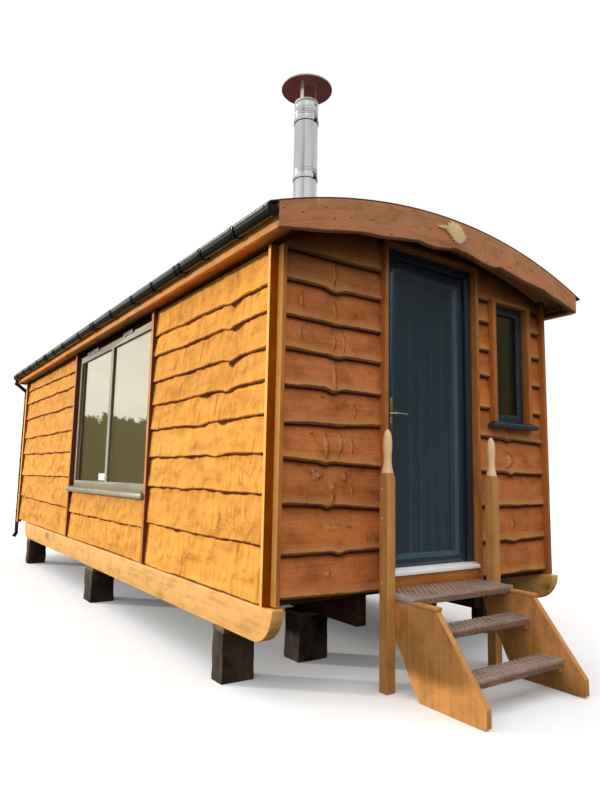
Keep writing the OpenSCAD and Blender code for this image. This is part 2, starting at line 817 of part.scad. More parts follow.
module lever_handle() {
    y0 = leaf_y - plate_t;
    y1 = leaf_y + leaf_t + plate_t;
    color("silver") placed() translate([spindle_x, 0, spindle_z]) {
        translate([0, y0 - lever_clear - 1, 0]) rotate([-90, 0, 0])
            cylinder(d = spindle_d, h = y1 - y0 + 2 * lever_clear + 2, $fn = 48);
        translate([0, y0, 0]) rotate([90, 0, 0]) lever_side();
        translate([0, y1, 0]) rotate([90, 0, 0]) mirror([0, 0, 1]) lever_side();
    }
}

// Distance that the window frames stand behind the face of their battens
side_frame_x = half_w + 12;

module side_window_frame() {
    y0 = side_win_y - side_win_w / 2;
    y1 = side_win_y + side_win_w / 2;
    x0 = -side_frame_x;
    x1 = -side_frame_x + win_frame_d;
    color("gray") placed() difference() {
        box([x0, y0, side_sill], [x1, y1, eave_z]);
        for (y = [y0 + win_rail_w, side_win_y + win_rail_w / 2])
            box([x0 - 1, y, side_sill + win_rail_w],
                [x1 + 1, y + side_win_w / 2 - win_rail_w * 1.5, side_win_top - win_rail_w]);
    }
}

front_frame_y = -12;

module front_window_frame() {
    fx0 = front_win_x - front_win_w / 2;
    fx1 = front_win_x + front_win_w / 2;
    color("darkslategray") placed() difference() {
        box([fx0, front_frame_y, front_sill], [fx1, front_frame_y + win_frame_d, front_win_top]);
        box([fx0 + win_rail_w, front_frame_y - 1, front_sill + win_rail_w],
            [fx1 - win_rail_w, front_frame_y + win_frame_d + 1, front_win_top - win_rail_w]);
    }
}

module window_glass() {
    y0 = side_win_y - side_win_w / 2;
    back = 18;
    x0 = -side_frame_x + back;
    color("lightblue") placed() {
        for (y = [y0 + win_rail_w, side_win_y + win_rail_w / 2])
            box([x0, y, side_sill + win_rail_w],
                [x0 + glass_t, y + side_win_w / 2 - win_rail_w * 1.5, side_win_top - win_rail_w]);
        box([front_win_x - front_win_w / 2 + win_rail_w, front_frame_y + back, front_sill + win_rail_w],
            [front_win_x + front_win_w / 2 - win_rail_w, front_frame_y + back + glass_t,
             front_win_top - win_rail_w]);
    }
}

flue_bottom_z = arc_z(ceiling_r, flue_x) - 60;
flue_top = floor_z + side_wall_h + flue_rise;

module flue_pipe() {
    color("silver") placed() translate([flue_x, flue_y, flue_bottom_z]) difference() {
        cylinder(d = flue_d, h = flue_top - flue_bottom_z, $fn = 96);
        translate([0, 0, -1]) cylinder(d = flue_bore, h = flue_top - flue_bottom_z + 2, $fn = 96);
    }
}

band_step = 458;
band_h = 44;
band_t = 5;
band_top = 150;

module flue_bands() {
    color("silver") placed() for (i = [0, 1])
        translate([flue_x, flue_y, flue_top - band_top - band_h / 2 - i * band_step]) difference() {
            cylinder(d = flue_d + 2 * band_t, h = band_h, $fn = 96);
            translate([0, 0, -1]) cylinder(d = flue_d + 2 * skin_gap, h = band_h + 2, $fn = 96);
        }
}

cowl_gap = 120;
cowl_h = 62;
cowl_rim = 10;

cowl_sheet = 3;
cowl_tip = 15;

module flue_cowl() {
    strap_r = flue_bore / 2 + 4;
    strap_share = (strap_r - cowl_tip) / (cowl_d / 2 - cowl_tip);
    strap_top = cowl_gap + cowl_rim + (cowl_h - cowl_sheet) * (1 - strap_share) + cowl_sheet / 4;
    color("silver") placed() translate([flue_x, flue_y, flue_top + skin_gap]) {
        difference() {
            cylinder(d = flue_d, h = 12, $fn = 96);
            translate([0, 0, -1]) cylinder(d = flue_bore, h = 14, $fn = 96);
        }
        for (a = [85, 205, 325]) rotate([0, 0, a])
            translate([strap_r, -14, 0]) cube([4, 28, strap_top]);
        translate([0, 0, cowl_gap]) difference() {
            union() {
                cylinder(d = cowl_d, h = cowl_rim, $fn = 96);
                translate([0, 0, cowl_rim])
                    cylinder(r1 = cowl_d / 2, r2 = cowl_tip, h = cowl_h, $fn = 96);
            }
            translate([0, 0, -1]) cylinder(d = cowl_d - 2 * cowl_sheet, h = cowl_rim + 1.01, $fn = 96);
            translate([0, 0, cowl_rim]) cylinder(r1 = cowl_d / 2 - cowl_sheet, r2 = cowl_tip - cowl_sheet,
                h = cowl_h - cowl_sheet, $fn = 96);
        }
    }
}

flashing_d = 380;
flashing_h = 130;

module flue_flashing() {
    base_z = arc_z(roof_r, abs(flue_x) + flashing_d / 2);
    top_z = arc_z(roof_r, flue_x) + flashing_h;
    color("black") placed() difference() {
        union() {
            translate([flue_x, flue_y, base_z]) cylinder(d = flashing_d, h = arc_z(roof_r, abs(flue_x)
                - flashing_d / 2) + cover_t + 10 - base_z, $fn = 96);
            translate([flue_x, flue_y, base_z])
                cylinder(d1 = flashing_d * 0.9, d2 = flue_d + 16, h = top_z - base_z, $fn = 96);
        }
        under_arc(roof_r + cover_t + 2 * skin_gap, flue_y - flashing_d, flue_y + flashing_d);
        flue_hole(skin_gap);
    }
}

// A serrated leaf with its stem, cut from a thin board and fixed to the bargeboard
leaf_l = 204;
leaf_h = 155;
leaf_thick = 9;
tooth = 15;

// Outline from the stem's end over the top to the tip and back, as shares of the leaf's size
leaf_shares = [[-0.38, 0.57], [0, 0.69], [0.1, 0.85], [0.24, 0.98], [0.38, 1], [0.52, 0.99],
               [0.65, 0.95], [0.77, 0.85], [0.87, 0.7], [0.95, 0.53], [1, 0.38], [0.92, 0.24],
               [0.8, 0.12], [0.68, 0.02], [0.55, 0], [0.43, 0.05], [0.32, 0.14], [0.22, 0.25],
               [0.12, 0.33], [0.03, 0.41], [-0.05, 0.5], [-0.36, 0.5]];

// Inner corner of the saw tooth between two points of the leaf's edge
function notch(a, b) = a + 0.55 * (b - a) - tooth * [a[1] - b[1], b[0] - a[0]] / norm(b - a);

module leaf_ornament() {
    n = len(leaf_shares);
    edge = [for (p = leaf_shares) [p[0] * leaf_l, p[1] * leaf_h]];
    outline = [for (i = [0 : n - 1])
                   for (p = i == 0 || i > n - 3 ? [edge[i]] : [edge[i], notch(edge[i], edge[i + 1])]) p];
    color("burlywood") placed()
        translate([-leaf_l / 2, -gable_out, roof_cz + roof_r - barge_d * 0.78])
            rotate([90, 0, 0]) linear_extrude(leaf_thick) polygon(outline);
}

toe_h = 102;
toe_w = 60;
slope_back = 170;
cap_t = 20;
cap_over = 6;

// Rear edge of a stringer as shares of its reach and its height, from the ground up
stringer_rear = [[0.465, 0], [0.374, 0.2], [0.306, 0.42], [0.206, 0.644], [0.147, 0.883], [0.093, 1]];

module stringer(x) {
    top_front = -top_tread_out - slope_back;
    translate([x, 0, 0]) {
        rotate([90, 0, 90]) linear_extrude(stringer_t)
            polygon(concat([[-stair_out, 12], [-stair_out + toe_w, 0]],
                           [for (p = stringer_rear) [-p[0] * stair_out, p[1] * stringer_top_z]],
                           [[top_front, stringer_top_z], [-stair_out, toe_h]]));
        box([-cap_over, top_front - cap_over, stringer_top_z],
            [stringer_t + cap_over, -top_tread_out, stringer_top_z + cap_t]);
    }
}

cleat_t = 32;

module stair_stringers() {
    color("peru") placed() {
        stringer(stair_x0);
        stringer(stair_x1 - stringer_t);
        for (i = [0, 1])
            for (x = [stair_x0 + stringer_t, stair_x1 - stringer_t - cleat_t])
                box([x, -tread_outs[i] + 10, tread_zs[i] - tread_t - cleat_t],
                    [x + cleat_t, -tread_outs[i] + tread_d - 10, tread_zs[i] - tread_t]);
    }
}

module stair_treads() {
    color("rosybrown") placed() {
        for (i = [0, 1])
            box([stair_x0 + stringer_t, -tread_outs[i], tread_zs[i] - tread_t],
                [stair_x1 - stringer_t, -tread_outs[i] + tread_d, tread_zs[i]]);
        box([stair_x0, -top_tread_out, stringer_top_z], [stair_x1, -front_batten_d, top_tread_z]);
    }
}

// Half the grip's width as shares of half the post's, at shares of the grip's height
grip_profile = [[1.42, 0], [1.14, 0.08], [0.98, 0.155], [0.84, 0.235], [0.76, 0.32], [0.73, 0.41],
                [0.79, 0.51], [0.86, 0.59], [0.88, 0.7], [0.84, 0.78], [0.75, 0.86], [0.57, 0.935],
                [0.3, 0.99], [0, 1]];
grip_h = 290;

// A square post whose top is carved to a round, waisted grip
module newel_post(x) {
    h = top_tread_z + newel_rise;
    w = newel_w / 2;
    translate([x, newel_y, 0]) {
        cube([newel_w, newel_w, h - grip_h]);
        intersection() {
            translate([0, 0, h - grip_h]) cube([newel_w, newel_w, grip_h]);
            translate([w, w, h - grip_h]) rotate_extrude($fn = 48)
                polygon(concat([[0, 0]], [for (p = grip_profile) [p[0] * w, p[1] * grip_h]]));
        }
    }
}

module newel_posts() {
    color("goldenrod") placed() {
        newel_post(stair_x0 - newel_w);
        newel_post(stair_x1);
    }
}

sleeper_piers();
pier_packings();
side_skids();
inner_bearers();
floor_joists();
floor_deck();
floor_boards();
front_wall_left();
front_wall_right();
front_wall_over_door();
left_wall();
right_wall();
rear_wall();
roof_deck();
roof_covering();
front_bargeboard();
rear_bargeboard();
fascias();
soffits();
gutters();
gutter_brackets();
downpipes();
front_cladding();
left_cladding();
right_cladding();
rear_cladding();
corner_battens();
door_battens();
window_battens();
window_sills();
door_frame();
threshold();
door_leaf();
frame_hinges();
door_hinges();
handle_plates();
lever_handle();
side_window_frame();
front_window_frame();
window_glass();
flue_pipe();
flue_bands();
flue_cowl();
flue_flashing();
leaf_ornament();
stair_stringers();
stair_treads();
newel_posts();
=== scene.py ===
"""Dresses the packed timber hut: waney boards, joinery, flue, gutters and wired steps."""
import json
import math
import random

import bmesh
import bpy
import numpy as np
from bpy.props import FloatProperty, FloatVectorProperty, PointerProperty
from mathutils import Matrix, Vector, noise


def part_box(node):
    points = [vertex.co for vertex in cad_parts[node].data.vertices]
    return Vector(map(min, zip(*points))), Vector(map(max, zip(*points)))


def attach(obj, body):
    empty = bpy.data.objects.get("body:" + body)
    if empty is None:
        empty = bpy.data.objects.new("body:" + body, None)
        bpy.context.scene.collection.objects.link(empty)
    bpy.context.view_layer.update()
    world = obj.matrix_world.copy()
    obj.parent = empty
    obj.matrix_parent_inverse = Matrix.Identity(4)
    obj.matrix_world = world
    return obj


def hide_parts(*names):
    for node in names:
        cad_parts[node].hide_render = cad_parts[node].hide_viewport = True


bl_info = {
    "name": "Timber hut on skids",
    "version": (1, 0, 0),
    "blender": (4, 5, 0),
    "location": "View3D > Sidebar > Hut",
    "description": "Waney boards, joinery, flue, gutters and wired steps for a long timber hut",
    "category": "Object",
}

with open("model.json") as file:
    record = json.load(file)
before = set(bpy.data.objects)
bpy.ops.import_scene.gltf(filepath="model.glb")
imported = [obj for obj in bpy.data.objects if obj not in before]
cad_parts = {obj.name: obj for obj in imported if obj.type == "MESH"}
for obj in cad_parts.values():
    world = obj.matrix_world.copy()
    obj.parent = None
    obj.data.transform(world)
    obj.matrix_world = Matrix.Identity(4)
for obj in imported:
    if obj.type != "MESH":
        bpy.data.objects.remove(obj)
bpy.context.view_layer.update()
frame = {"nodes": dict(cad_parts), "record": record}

# Planes of the hut, read from the frame in metres
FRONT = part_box("left_wall")[0].y
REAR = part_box("left_wall")[1].y
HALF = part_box("right_wall")[1].x
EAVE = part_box("fascias")[0].z
EAVE_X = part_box("fascias")[1].x
ROOF_R = 4.0
CEILING_R = 3.91
ARC_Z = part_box("roof_deck")[1].z - ROOF_R
SLOT = {part["node"]: part["material_slot"] for part in frame["record"]["subparts"]}
BODY = {n: b for b, ns in frame["record"]["behaviour"]["bodies"].items() for n in ns}


def arc(x, radius):
    """Height of one of the roof's curves at a distance x from the middle."""
    return ARC_Z + math.sqrt(radius * radius - x * x)


# Node trees

class Wire:
    """A node's output; sums and products with it are Math nodes of its tree."""

    def __init__(self, socket):
        self.socket, self.tree = socket, socket.id_data

    def __add__(self, other):
        return calc("ADD", self, other)

    def __sub__(self, other):
        return calc("SUBTRACT", self, other)

    def __rsub__(self, other):
        return calc("SUBTRACT", other, self)

    def __mul__(self, other):
        return calc("MULTIPLY", self, other)

    def __truediv__(self, other):
        return calc("DIVIDE", self, other)

    def __rtruediv__(self, other):
        return calc("DIVIDE", other, self)

    def __abs__(self):
        return calc("ABSOLUTE", self)


def plug(socket, value):
    """Gives an input a wire or a value."""
    if isinstance(value, Wire):
        value.tree.links.new(value.socket, socket)
    else:
        socket.default_value = (*value, 1) if socket.type == "RGBA" and len(value) == 3 else value


def put(tree, kind, links=None, **settings):
    """Adds a node with its settings and inputs."""
    node = tree.nodes.new(kind)
    for key, value in settings.items():
        setattr(node, key, value)
    for key, value in (links or {}).items():
        plug(node.inputs[key], value)
    return node


def wire(tree, kind, links=None, out=0, **settings):
    """One output of a new node."""
    return Wire(put(tree, kind, links, **settings).outputs[out])


def outs(node):
    """A node's outputs by name."""
    return {s.name: Wire(s) for s in node.outputs if s.name}


def tree_with(*values):
    """The tree of the first wire among some values."""
    return next(v.tree for v in values if isinstance(v, Wire))


def calc(operation, a, b=0.0, clamp=False):
    """Output of a Math node."""
    return wire(tree_with(a, b), "ShaderNodeMath", {0: a, 1: b}, operation=operation, use_clamp=clamp)


def stretched(where, factors):
    """A vector with each part multiplied by its own factor."""
    return wire(where.tree, "ShaderNodeVectorMath", {0: where, 1: factors}, operation="MULTIPLY")


def merged(*parts):
    """A vector of three wires or numbers."""
    return wire(tree_with(*parts), "ShaderNodeCombineXYZ", dict(enumerate(parts)))


def split(where):
    """The three parts of a vector."""
    return [Wire(s) for s in put(where.tree, "ShaderNodeSeparateXYZ", {0: where}).outputs]


def place_in(tree):
    """The place on the object in metres."""
    return wire(tree, "ShaderNodeTexCoord", out="Object")


def ramp(value, stops):
    """Output of a Color Ramp with (place, colour) stops."""
    node = put(value.tree, "ShaderNodeValToRGB", {0: value})
    while len(node.color_ramp.elements) < len(stops):
        node.color_ramp.elements.new(0.5)
    for element, (place, colour) in zip(node.color_ramp.elements, stops):
        element.position, element.color = place, (*colour, 1)
    return Wire(node.outputs[0])


def blend(factor, a, b):
    """Colour a turned into colour b by a factor."""
    return wire(tree_with(factor, a, b), "ShaderNodeMix", {0: factor, 6: a, 7: b}, out=2, data_type="RGBA")


def span(value, low, high, to_low=0.0, to_high=1.0):
    """Output of a Map Range node."""
    return wire(value.tree, "ShaderNodeMapRange", {0: value, 1: low, 2: high, 3: to_low, 4: to_high})


def mottle(where, scale=1.0, detail=3.0, rough=0.55, warp=0.0):
    """Output of a Noise Texture."""
    return wire(where.tree, "ShaderNodeTexNoise", {
        "Vector": where, "Scale": scale, "Detail": detail, "Roughness": rough, "Distortion": warp})


GROUPS = {}


def group(name, inputs, outputs, kind="ShaderNodeTree"):
    """Makes a node group of a function that gives its outputs, built on first use.

    An input is given by its kind of socket or by its default number.
    """
    def decorated(build):
        def get():
            if name in GROUPS:
                return GROUPS[name]
            tree = GROUPS[name] = bpy.data.node_groups.new(name, kind)
            ending = "Float" if kind == "ShaderNodeTree" else "Geometry"
            rows = [("INPUT", *row) for row in inputs.items()] + [("OUTPUT", label, ending) for label in outputs]
            for side, label, what in rows:
                sort = what if isinstance(what, str) else "Int" if isinstance(what, int) else "Float"
                socket = tree.interface.new_socket(name=label, in_out=side, socket_type="NodeSocket" + sort)
                if sort != what:
                    socket.default_value = what
            made = build(tree, outs(tree.nodes.new("NodeGroupInput")))
            for socket, value in zip(tree.nodes.new("NodeGroupOutput").inputs, made):
                plug(socket, value)
            return tree
        return get
    return decorated


def use(tree, group_of, **values):
    """Places a shader group with its inputs by name and gives its outputs by name."""
    return outs(feed(put(tree, "ShaderNodeGroup", node_tree=group_of()), **values))


def feed(node, **values):
    """Gives a node's inputs, by name, their wires or values."""
    for key, value in values.items():
        plug(node.inputs[key.replace("_", " ")], value)
    return node


@group("Timber grain", {"Map": "Vector", "Rings": 55.0, "Figure": 0.5, "Knots": 2.2, "Knot size": 0.5, "Fibre": 0.25,
                        "Marks": 0.0}, ("Tone", "Knot", "Mark", "Height"))
def grain_group(tree, given):
    """Growth lines that bend round knots, fibres, blotches and small cracks, from a map in metres along the grain."""
    m, knots = given["Map"], given["Knots"]
    sway = mottle(stretched(m, (1.1, 3.5, 1)), 1.6, 2) - 0.5
    knot_map = stretched(stretched(m, (1, 2.6, 1)), merged(knots, knots, 1.0))
    cells = put(tree, "ShaderNodeTexVoronoi", {"Vector": knot_map, "Scale": 1.0}, voronoi_dimensions="2D").outputs
    present = calc("GREATER_THAN", wire(tree, "ShaderNodeSeparateColor", {0: Wire(cells["Color"])}), 0.45)
    near = Wire(cells["Distance"]) * (1.0 / given["Knot size"])
    bulge = calc("EXPONENT", near * near * -3.0) * present
    along, across, _ = split(m)
    phase = across + sway * 0.045 + bulge * 0.05
    lines = mottle(merged(along * 0.9, phase * given["Rings"], bulge), 1.0, 4, 0.62)
    fibre = mottle(stretched(m, (9, 420, 1)), 1.0, 2)
    cloud = mottle(stretched(m, (4.5, 7.5, 1)), 1.0, 5, 0.62, 0.4)
    tone = blend(given["Figure"], span(cloud, 0.28, 0.72), span(lines, 0.3, 0.7)) + (fibre - 0.5) * given["Fibre"]
    crack = calc("SUBTRACT", 1.0, abs(mottle(stretched(m, (34, 9, 1)), 1.0, 3, 0.6, 1.6) - 0.5) * 26.0, clamp=True)
    crack = crack * span(mottle(stretched(m, (6, 7, 1))), 0.54, 0.66) * given["Marks"]
    height = lines * 0.35 + fibre * 0.25 + cloud * 0.9 - crack * 0.8 + bulge * 0.35
    return calc("MAXIMUM", tone, 0.0, clamp=True), span(near, 0.09, 0.24, 1.0, 0.0) * present, crack, height


@group("Hewn folds", {"Map": "Vector"}, ("Fold", "Shade"))
def hewn_group(tree, given):
    """Upright chisel folds across the boards, from a map in metres along the grain."""
    m = given["Map"]
    folds = mottle(stretched(m, (8.0, 4.2, 1)), 1.0, 2, 0.45, 0.6)
    ridge = calc("MULTIPLY", abs(folds - 0.5), 5.0, clamp=True)
    fine = mottle(stretched(m, (26, 8, 1)), 1.0, 3, 0.55, 0.9)
    where = span(mottle(stretched(m, (1.6, 3.4, 1)), 1.0, 2), 0.36, 0.60)
    fold = folds * 9.0 + ridge * 0.3 + fine * 0.35
    crease_shade = span(ridge, 0.16, 0.0) * 0.8 + span(fine, 0.42, 0.26) * 0.1
    return fold * span(where, 0.0, 1.0, 0.25, 1.0), calc("MULTIPLY", crease_shade, where, clamp=True)


@group("Weather patches", {"Place": "Vector", "Size": 3.0}, ("Patch", "Speck"))
def weather_group(tree, given):
    """Soft patches of dust and of darker damp, in metres on the object."""
    broad = mottle(stretched(given["Place"], merged(*[given["Size"]] * 3)), 1.0, 4, 0.6)
    return span(broad, 0.42, 0.72), span(mottle(given["Place"], 160.0, 2), 0.6, 0.75)


@group("Under the gable", {"Place": "Vector", "Reach": 0.36}, ("Shade",))
def gable_group(tree, given):
    """How dark the front is under the bowed gable board, by the place on the object in metres."""
    x, y, z = split(given["Place"])
    drop = calc("SQRT", CEILING_R ** 2 - x * x) + ARC_Z - z
    return (calc("SUBTRACT", 1.0, drop / given["Reach"], clamp=True) * calc("LESS_THAN", y, FRONT + 0.06),)


def under_gable(colour, amount):
    """The colour darkened under the gable board."""
    shade = use(colour.tree, gable_group, Place=place_in(colour.tree))["Shade"]
    return blend(shade * amount, colour, (0.006, 0.0015, 0.001))


def bare_material(name, **values):
    """A material with its Principled shader's own values set; returns it with its tree and shader."""
    material = bpy.data.materials.new(name)
    material.use_nodes = True
    shader = material.node_tree.nodes["Principled BSDF"]
    return material, material.node_tree, feed(shader, **values)


def emboss(shader, height, depth):
    """Feeds a height in metres into the shader's normal."""
    feed(shader, Normal=wire(height.tree, "ShaderNodeBump", {"Height": height, "Distance": depth, "Strength": 1.0}))


def timber(name, shades, knot=(0.06, 0.02, 0.006), wane=None, rings=110.0, figure=0.4, knots=2.2, knot_size=0.5,
           fibre=0.25, rough=0.52, depth=0.0012, tint=0.22, dust=None, marks=0.0, hewn=0.0, shine=0.2, gable=0.0,
           inward_shade=None):
    """Wood with growth lines, knots and fibres that follow the piece's grain map."""
    material, tree, shader = bare_material(name, IOR=1.46, Specular_IOR_Level=shine)
    where = wire(tree, "ShaderNodeUVMap", uv_map="grain")

    def stored(label):
        return wire(tree, "ShaderNodeAttribute", out="Fac", attribute_name=label)
    grain = use(tree, grain_group, Map=where, Rings=rings, Figure=figure, Knots=knots, Knot_size=knot_size,
                Fibre=fibre, Marks=marks)
    colour = ramp(grain["Tone"], list(zip((0.12, 0.5, 0.9), shades)))
    colour = blend(grain["Knot"] * 0.85, colour, knot)
    if marks:
        colour = blend(grain["Mark"] * 0.75, colour, knot)
    height = grain["Height"]
    if hewn:
        folds = use(tree, hewn_group, Map=where)
        # Painted shade along the folds' creases
        colour = blend(folds["Shade"] * (0.5 * hewn), colour, knot)
        height = height + folds["Fold"] * (1.6 * hewn)
    if wane:
        edge, sapwood, shadow = wane
        ragged = mottle(stretched(where, (110, 22, 1)), 1.0, 4, 0.6, 0.5)
        # The sapwood values also carry the painted highlight on the swellings' flanks towards the key light
        colour = blend(stored("sap") * span(ragged, 0.2, 0.7, 0.35, 1.0), colour, sapwood)
        # Painted shade on the swellings' flanks away from the key light
        colour = blend(stored("bump_side") * span(ragged, 0.35, 0.6, 0.25, 1.0), colour, knot)
        bark = blend(span(ragged, 0.35, 0.65), edge, tuple(c * 0.62 for c in edge))
        colour = blend(stored("wane"), colour, bark)
        # Painted shadow under the board above, darkest just below its edge
        colour = blend(stored("shade") * 0.97, colour, shadow)
    colour = wire(tree, "ShaderNodeHueSaturation", {
        "Color": colour, "Value": span(stored("tint"), 0.0, 1.0, 1.0 - tint, 1.0 + tint)})
    if dust:
        dusty, size, share = dust
        patch = use(tree, weather_group, Place=place_in(tree), Size=size)["Patch"]
        colour = blend(patch * share, colour, dusty)
    # Painted shade on the front under the gable board
    if gable:
        colour = under_gable(colour, gable)
    # Painted shade under the eave: darker the nearer a point lies to the wall
    if inward_shade:
        deep = span(abs(split(place_in(tree))[0]), *inward_shade, 0.96, 0.0)
        colour = blend(deep, colour, (0.006, 0.002, 0.001))
    feed(shader, Base_Color=colour, Roughness=span(grain["Tone"], 0.0, 1.0, rough + 0.1, rough - 0.08))
    emboss(shader, height, depth)
    return material


def satin(name, colour, rough=0.35, metal=0.0, wear=0.06, depth=0.00008, shine=0.5, worn=None, gable=0.0):
    """Paint or sheet metal with a faint cloudiness and a fine surface texture."""
    material, tree, shader = bare_material(name, Metallic=metal, Specular_IOR_Level=shine, IOR=1.5)
    where = place_in(tree)
    patch = use(tree, weather_group, Place=where, Size=5.0)
    other = worn or tuple(min(1.0, c * 1.5 + 0.01) for c in colour)
    tone = blend(patch["Patch"] * (wear * 3), colour, other)
    tone = blend(patch["Speck"] * wear, tone, other)
    # Painted shade on the front under the gable board
    if gable:
        tone = under_gable(tone, gable)
    feed(shader, Base_Color=tone, Roughness=span(patch["Patch"], 0.0, 1.0, rough, rough * 1.4))
    if depth:
        emboss(shader, mottle(where, 900.0, 2), depth)
    return material


def brushed(name, colour, rough=0.22, along=(1, 1, 60), metal=1.0, lines=0.25, streaks=(1, 1, 1), dull=0.78):
    """Metal with fine drawn lines across one direction."""
    material, tree, shader = bare_material(name, Metallic=metal)
    where = place_in(tree)
    drawn = mottle(stretched(where, along), 40.0)
    cloud = mottle(stretched(where, streaks), 6.0)
    tone = blend(span(cloud, 0.35, 0.75, 0.0, lines), colour, tuple(c * dull for c in colour))
    feed(shader, Base_Color=tone, Roughness=span(drawn, 0.3, 0.7, rough - 0.06, rough + 0.1))
    emboss(shader, drawn, 0.00004)
    return material


def boarded(name, dark, light, width, rough=0.5):
    """Lining boards with a small vee between them, on the object's own place."""
    material, tree, shader = bare_material(name, Roughness=rough)
    x, y, z = split(place_in(tree))
    run = x + y
    cell = run / width
    groove = span(calc("PINGPONG", cell, 0.5), 0.0, 0.025, 1.0, 0.0)
    figure = mottle(merged(z * 1.4, run * 60.0, calc("FLOOR", cell) * 3.7), 1.0, 4)
    tone = blend(groove, ramp(figure, [(0.3, dark), (0.7, light)]), tuple(c * 0.35 for c in dark))
    feed(shader, Base_Color=tone)
    emboss(shader, figure * 0.1 - groove, 0.003)
    return material


def clear_glass(name, tint, mirror):
    """Sealed glazing: clear, with a faint tint, and a little dust."""
    material, tree, shader = bare_material(name, Base_Color=tint, IOR=1.52, Metallic=mirror, Transmission_Weight=1.0,
                                           Specular_IOR_Level=1.0)
    feed(shader, Roughness=span(mottle(place_in(tree), 2.5, 4), 0.35, 0.8, 0.0, 0.02))
    return material


# Meshes

def placed(name, data):
    """A new object in the scene."""
    obj = bpy.data.objects.new(name, data)
    bpy.context.scene.collection.objects.link(obj)
    return obj


def opened(mesh, weld=True):
    """A mesh opened for editing, with its doubled points merged."""
    bm = bmesh.new()
    bm.from_mesh(mesh)
    if weld:
        bmesh.ops.remove_doubles(bm, verts=bm.verts, dist=1e-5)
    return bm


def closed(bm, mesh):
    """Writes an edited mesh into a mesh."""
    bm.to_mesh(mesh)
    bm.free()
    return mesh


def shaded(obj, angle):
    """Smooth shading with sharp edges over an angle in degrees."""
    obj.data.polygons.foreach_set("use_smooth", [True] * len(obj.data.polygons))
    obj.data.set_sharp_from_angle(angle=math.radians(angle))
    return obj


def coated(obj, *coats):
    """An object with these finishes only, each given by its name or as a material."""
    obj.data.materials.clear()
    for coat in coats:
        obj.data.materials.append(finish(coat) if isinstance(coat, str) else coat)
    return obj


def wrap(name, mesh, material, smooth=None):
    """Puts a mesh in the scene under a name, with its material and edges."""
    obj = coated(placed(name, mesh), material)
    return obj if smooth is None else shaded(obj, smooth)


def piece(name, verts, faces, material, smooth=None):
    """A closed mesh object at the origin with its faces turned outwards."""
    mesh = bpy.data.meshes.new(name)
    mesh.from_pydata([tuple(v) for v in verts], [], faces)
    bm = opened(mesh, weld=False)
    bmesh.ops.recalc_face_normals(bm, faces=bm.faces)
    return wrap(name, closed(bm, mesh), material, smooth)


def baked(obj):
    """Turns an object's modifiers, or a curve, into a plain mesh."""
    graph = bpy.context.evaluated_depsgraph_get()
    mesh = bpy.data.meshes.new_from_object(obj.evaluated_get(graph), preserve_all_data_layers=True, depsgraph=graph)
    if obj.type == "MESH":
        obj.modifiers.clear()
        obj.data = mesh
        return obj
    name = obj.name
    bpy.data.objects.remove(obj)
    return placed(name, mesh)


def joined(name, objs):
    """Several meshes of one material as one piece."""
    whole = bmesh.new()
    material = objs[0].data.materials[0]
    for obj in objs:
        whole.from_mesh(obj.data)
        bpy.data.objects.remove(obj)
    return wrap(name, closed(whole, bpy.data.meshes.new(name)), material)


def islands(mesh):
    """Lists of vertex numbers, one for each loose part of a mesh."""
    parent = list(range(len(mesh.vertices)))

    def root(i):
        while parent[i] != i:
            parent[i] = parent[parent[i]]
            i = parent[i]
        return i
    for edge in mesh.edges:
        a, b = map(root, edge.vertices)
        if a != b:
            parent[a] = b
    found = {}
    for i in range(len(mesh.vertices)):
        found.setdefault(root(i), []).append(i)
    return list(found.values())


def grain_map(obj, seed, axis=None, tints=(0.2, 0.8)):
    """Gives each loose part a grain map along its longest side, its own start and its own tone."""
    mesh = obj.data
    rng = random.Random(seed)
    co = np.array([v.co for v in mesh.vertices])
    long_axis = np.zeros(len(co), int)
    start = np.zeros((len(co), 2))
    tone = np.zeros(len(co), np.float32)
    for part in islands(mesh):
        long_axis[part] = np.ptp(co[part], axis=0).argmax() if axis is None else axis
        start[part] = rng.uniform(-40, 40), rng.uniform(-40, 40)
        tone[part] = rng.uniform(*tints)
    layer = mesh.uv_layers.new(name="grain")
    for poly in mesh.polygons:
        along, flat = int(long_axis[poly.vertices[0]]), int(np.argmax(np.abs(poly.normal)))
        if flat == along:
            along = 0 if along else 1
        across = 3 - along - flat
        for loop in poly.loop_indices:
            v = mesh.loops[loop].vertex_index
            layer.data[loop].uv = co[v][along] + start[v][0], co[v][across] + flat * 0.37 + start[v][1]
    point_values(mesh, tint=tone)
    return obj


def point_values(mesh, **layers):
    """Stores named values on the points of a mesh."""
    for name, values in layers.items():
        layer = mesh.attributes.new(name, "FLOAT", "POINT")
        layer.data.foreach_set("value", np.asarray(values, np.float32))


def settle(obj, *nodes, slot=None, body=None):
    """Names a piece and says which frame nodes it stands for, its slot and what it rides on."""
    obj.name = obj.name.lower().replace(" ", "_")
    if nodes:
        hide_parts(*nodes)
    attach(obj, body or (BODY[nodes[0]] if nodes else "hut"))
    return obj


def eased(node, name, material, width=0.0015, seed=0, smooth=35, keep=None, axis=None, tints=(0.2, 0.8), angle=30.0):
    """A merged copy of a frame node with its sharp edges rounded and a grain map."""
    bm = opened(frame["nodes"][node].data)
    bmesh.ops.dissolve_limit(bm, angle_limit=math.radians(0.3), verts=bm.verts, edges=bm.edges)
    if keep:
        bmesh.ops.delete(bm, geom=[v for v in bm.verts if not keep(v.co)], context="VERTS")
    obj = wrap(name, closed(bm, bpy.data.meshes.new(name)), material)
    return grain_map(rounded(obj, width, smooth, angle), seed, axis, tints)


def dress(node, name, material, **how):
    """An eased copy that takes the node's place."""
    return settle(eased(node, name, material, **how), node)


def paint(node, material):
    """Gives a frame node its material and keeps its shape."""
    return coated(frame["nodes"][node], material)


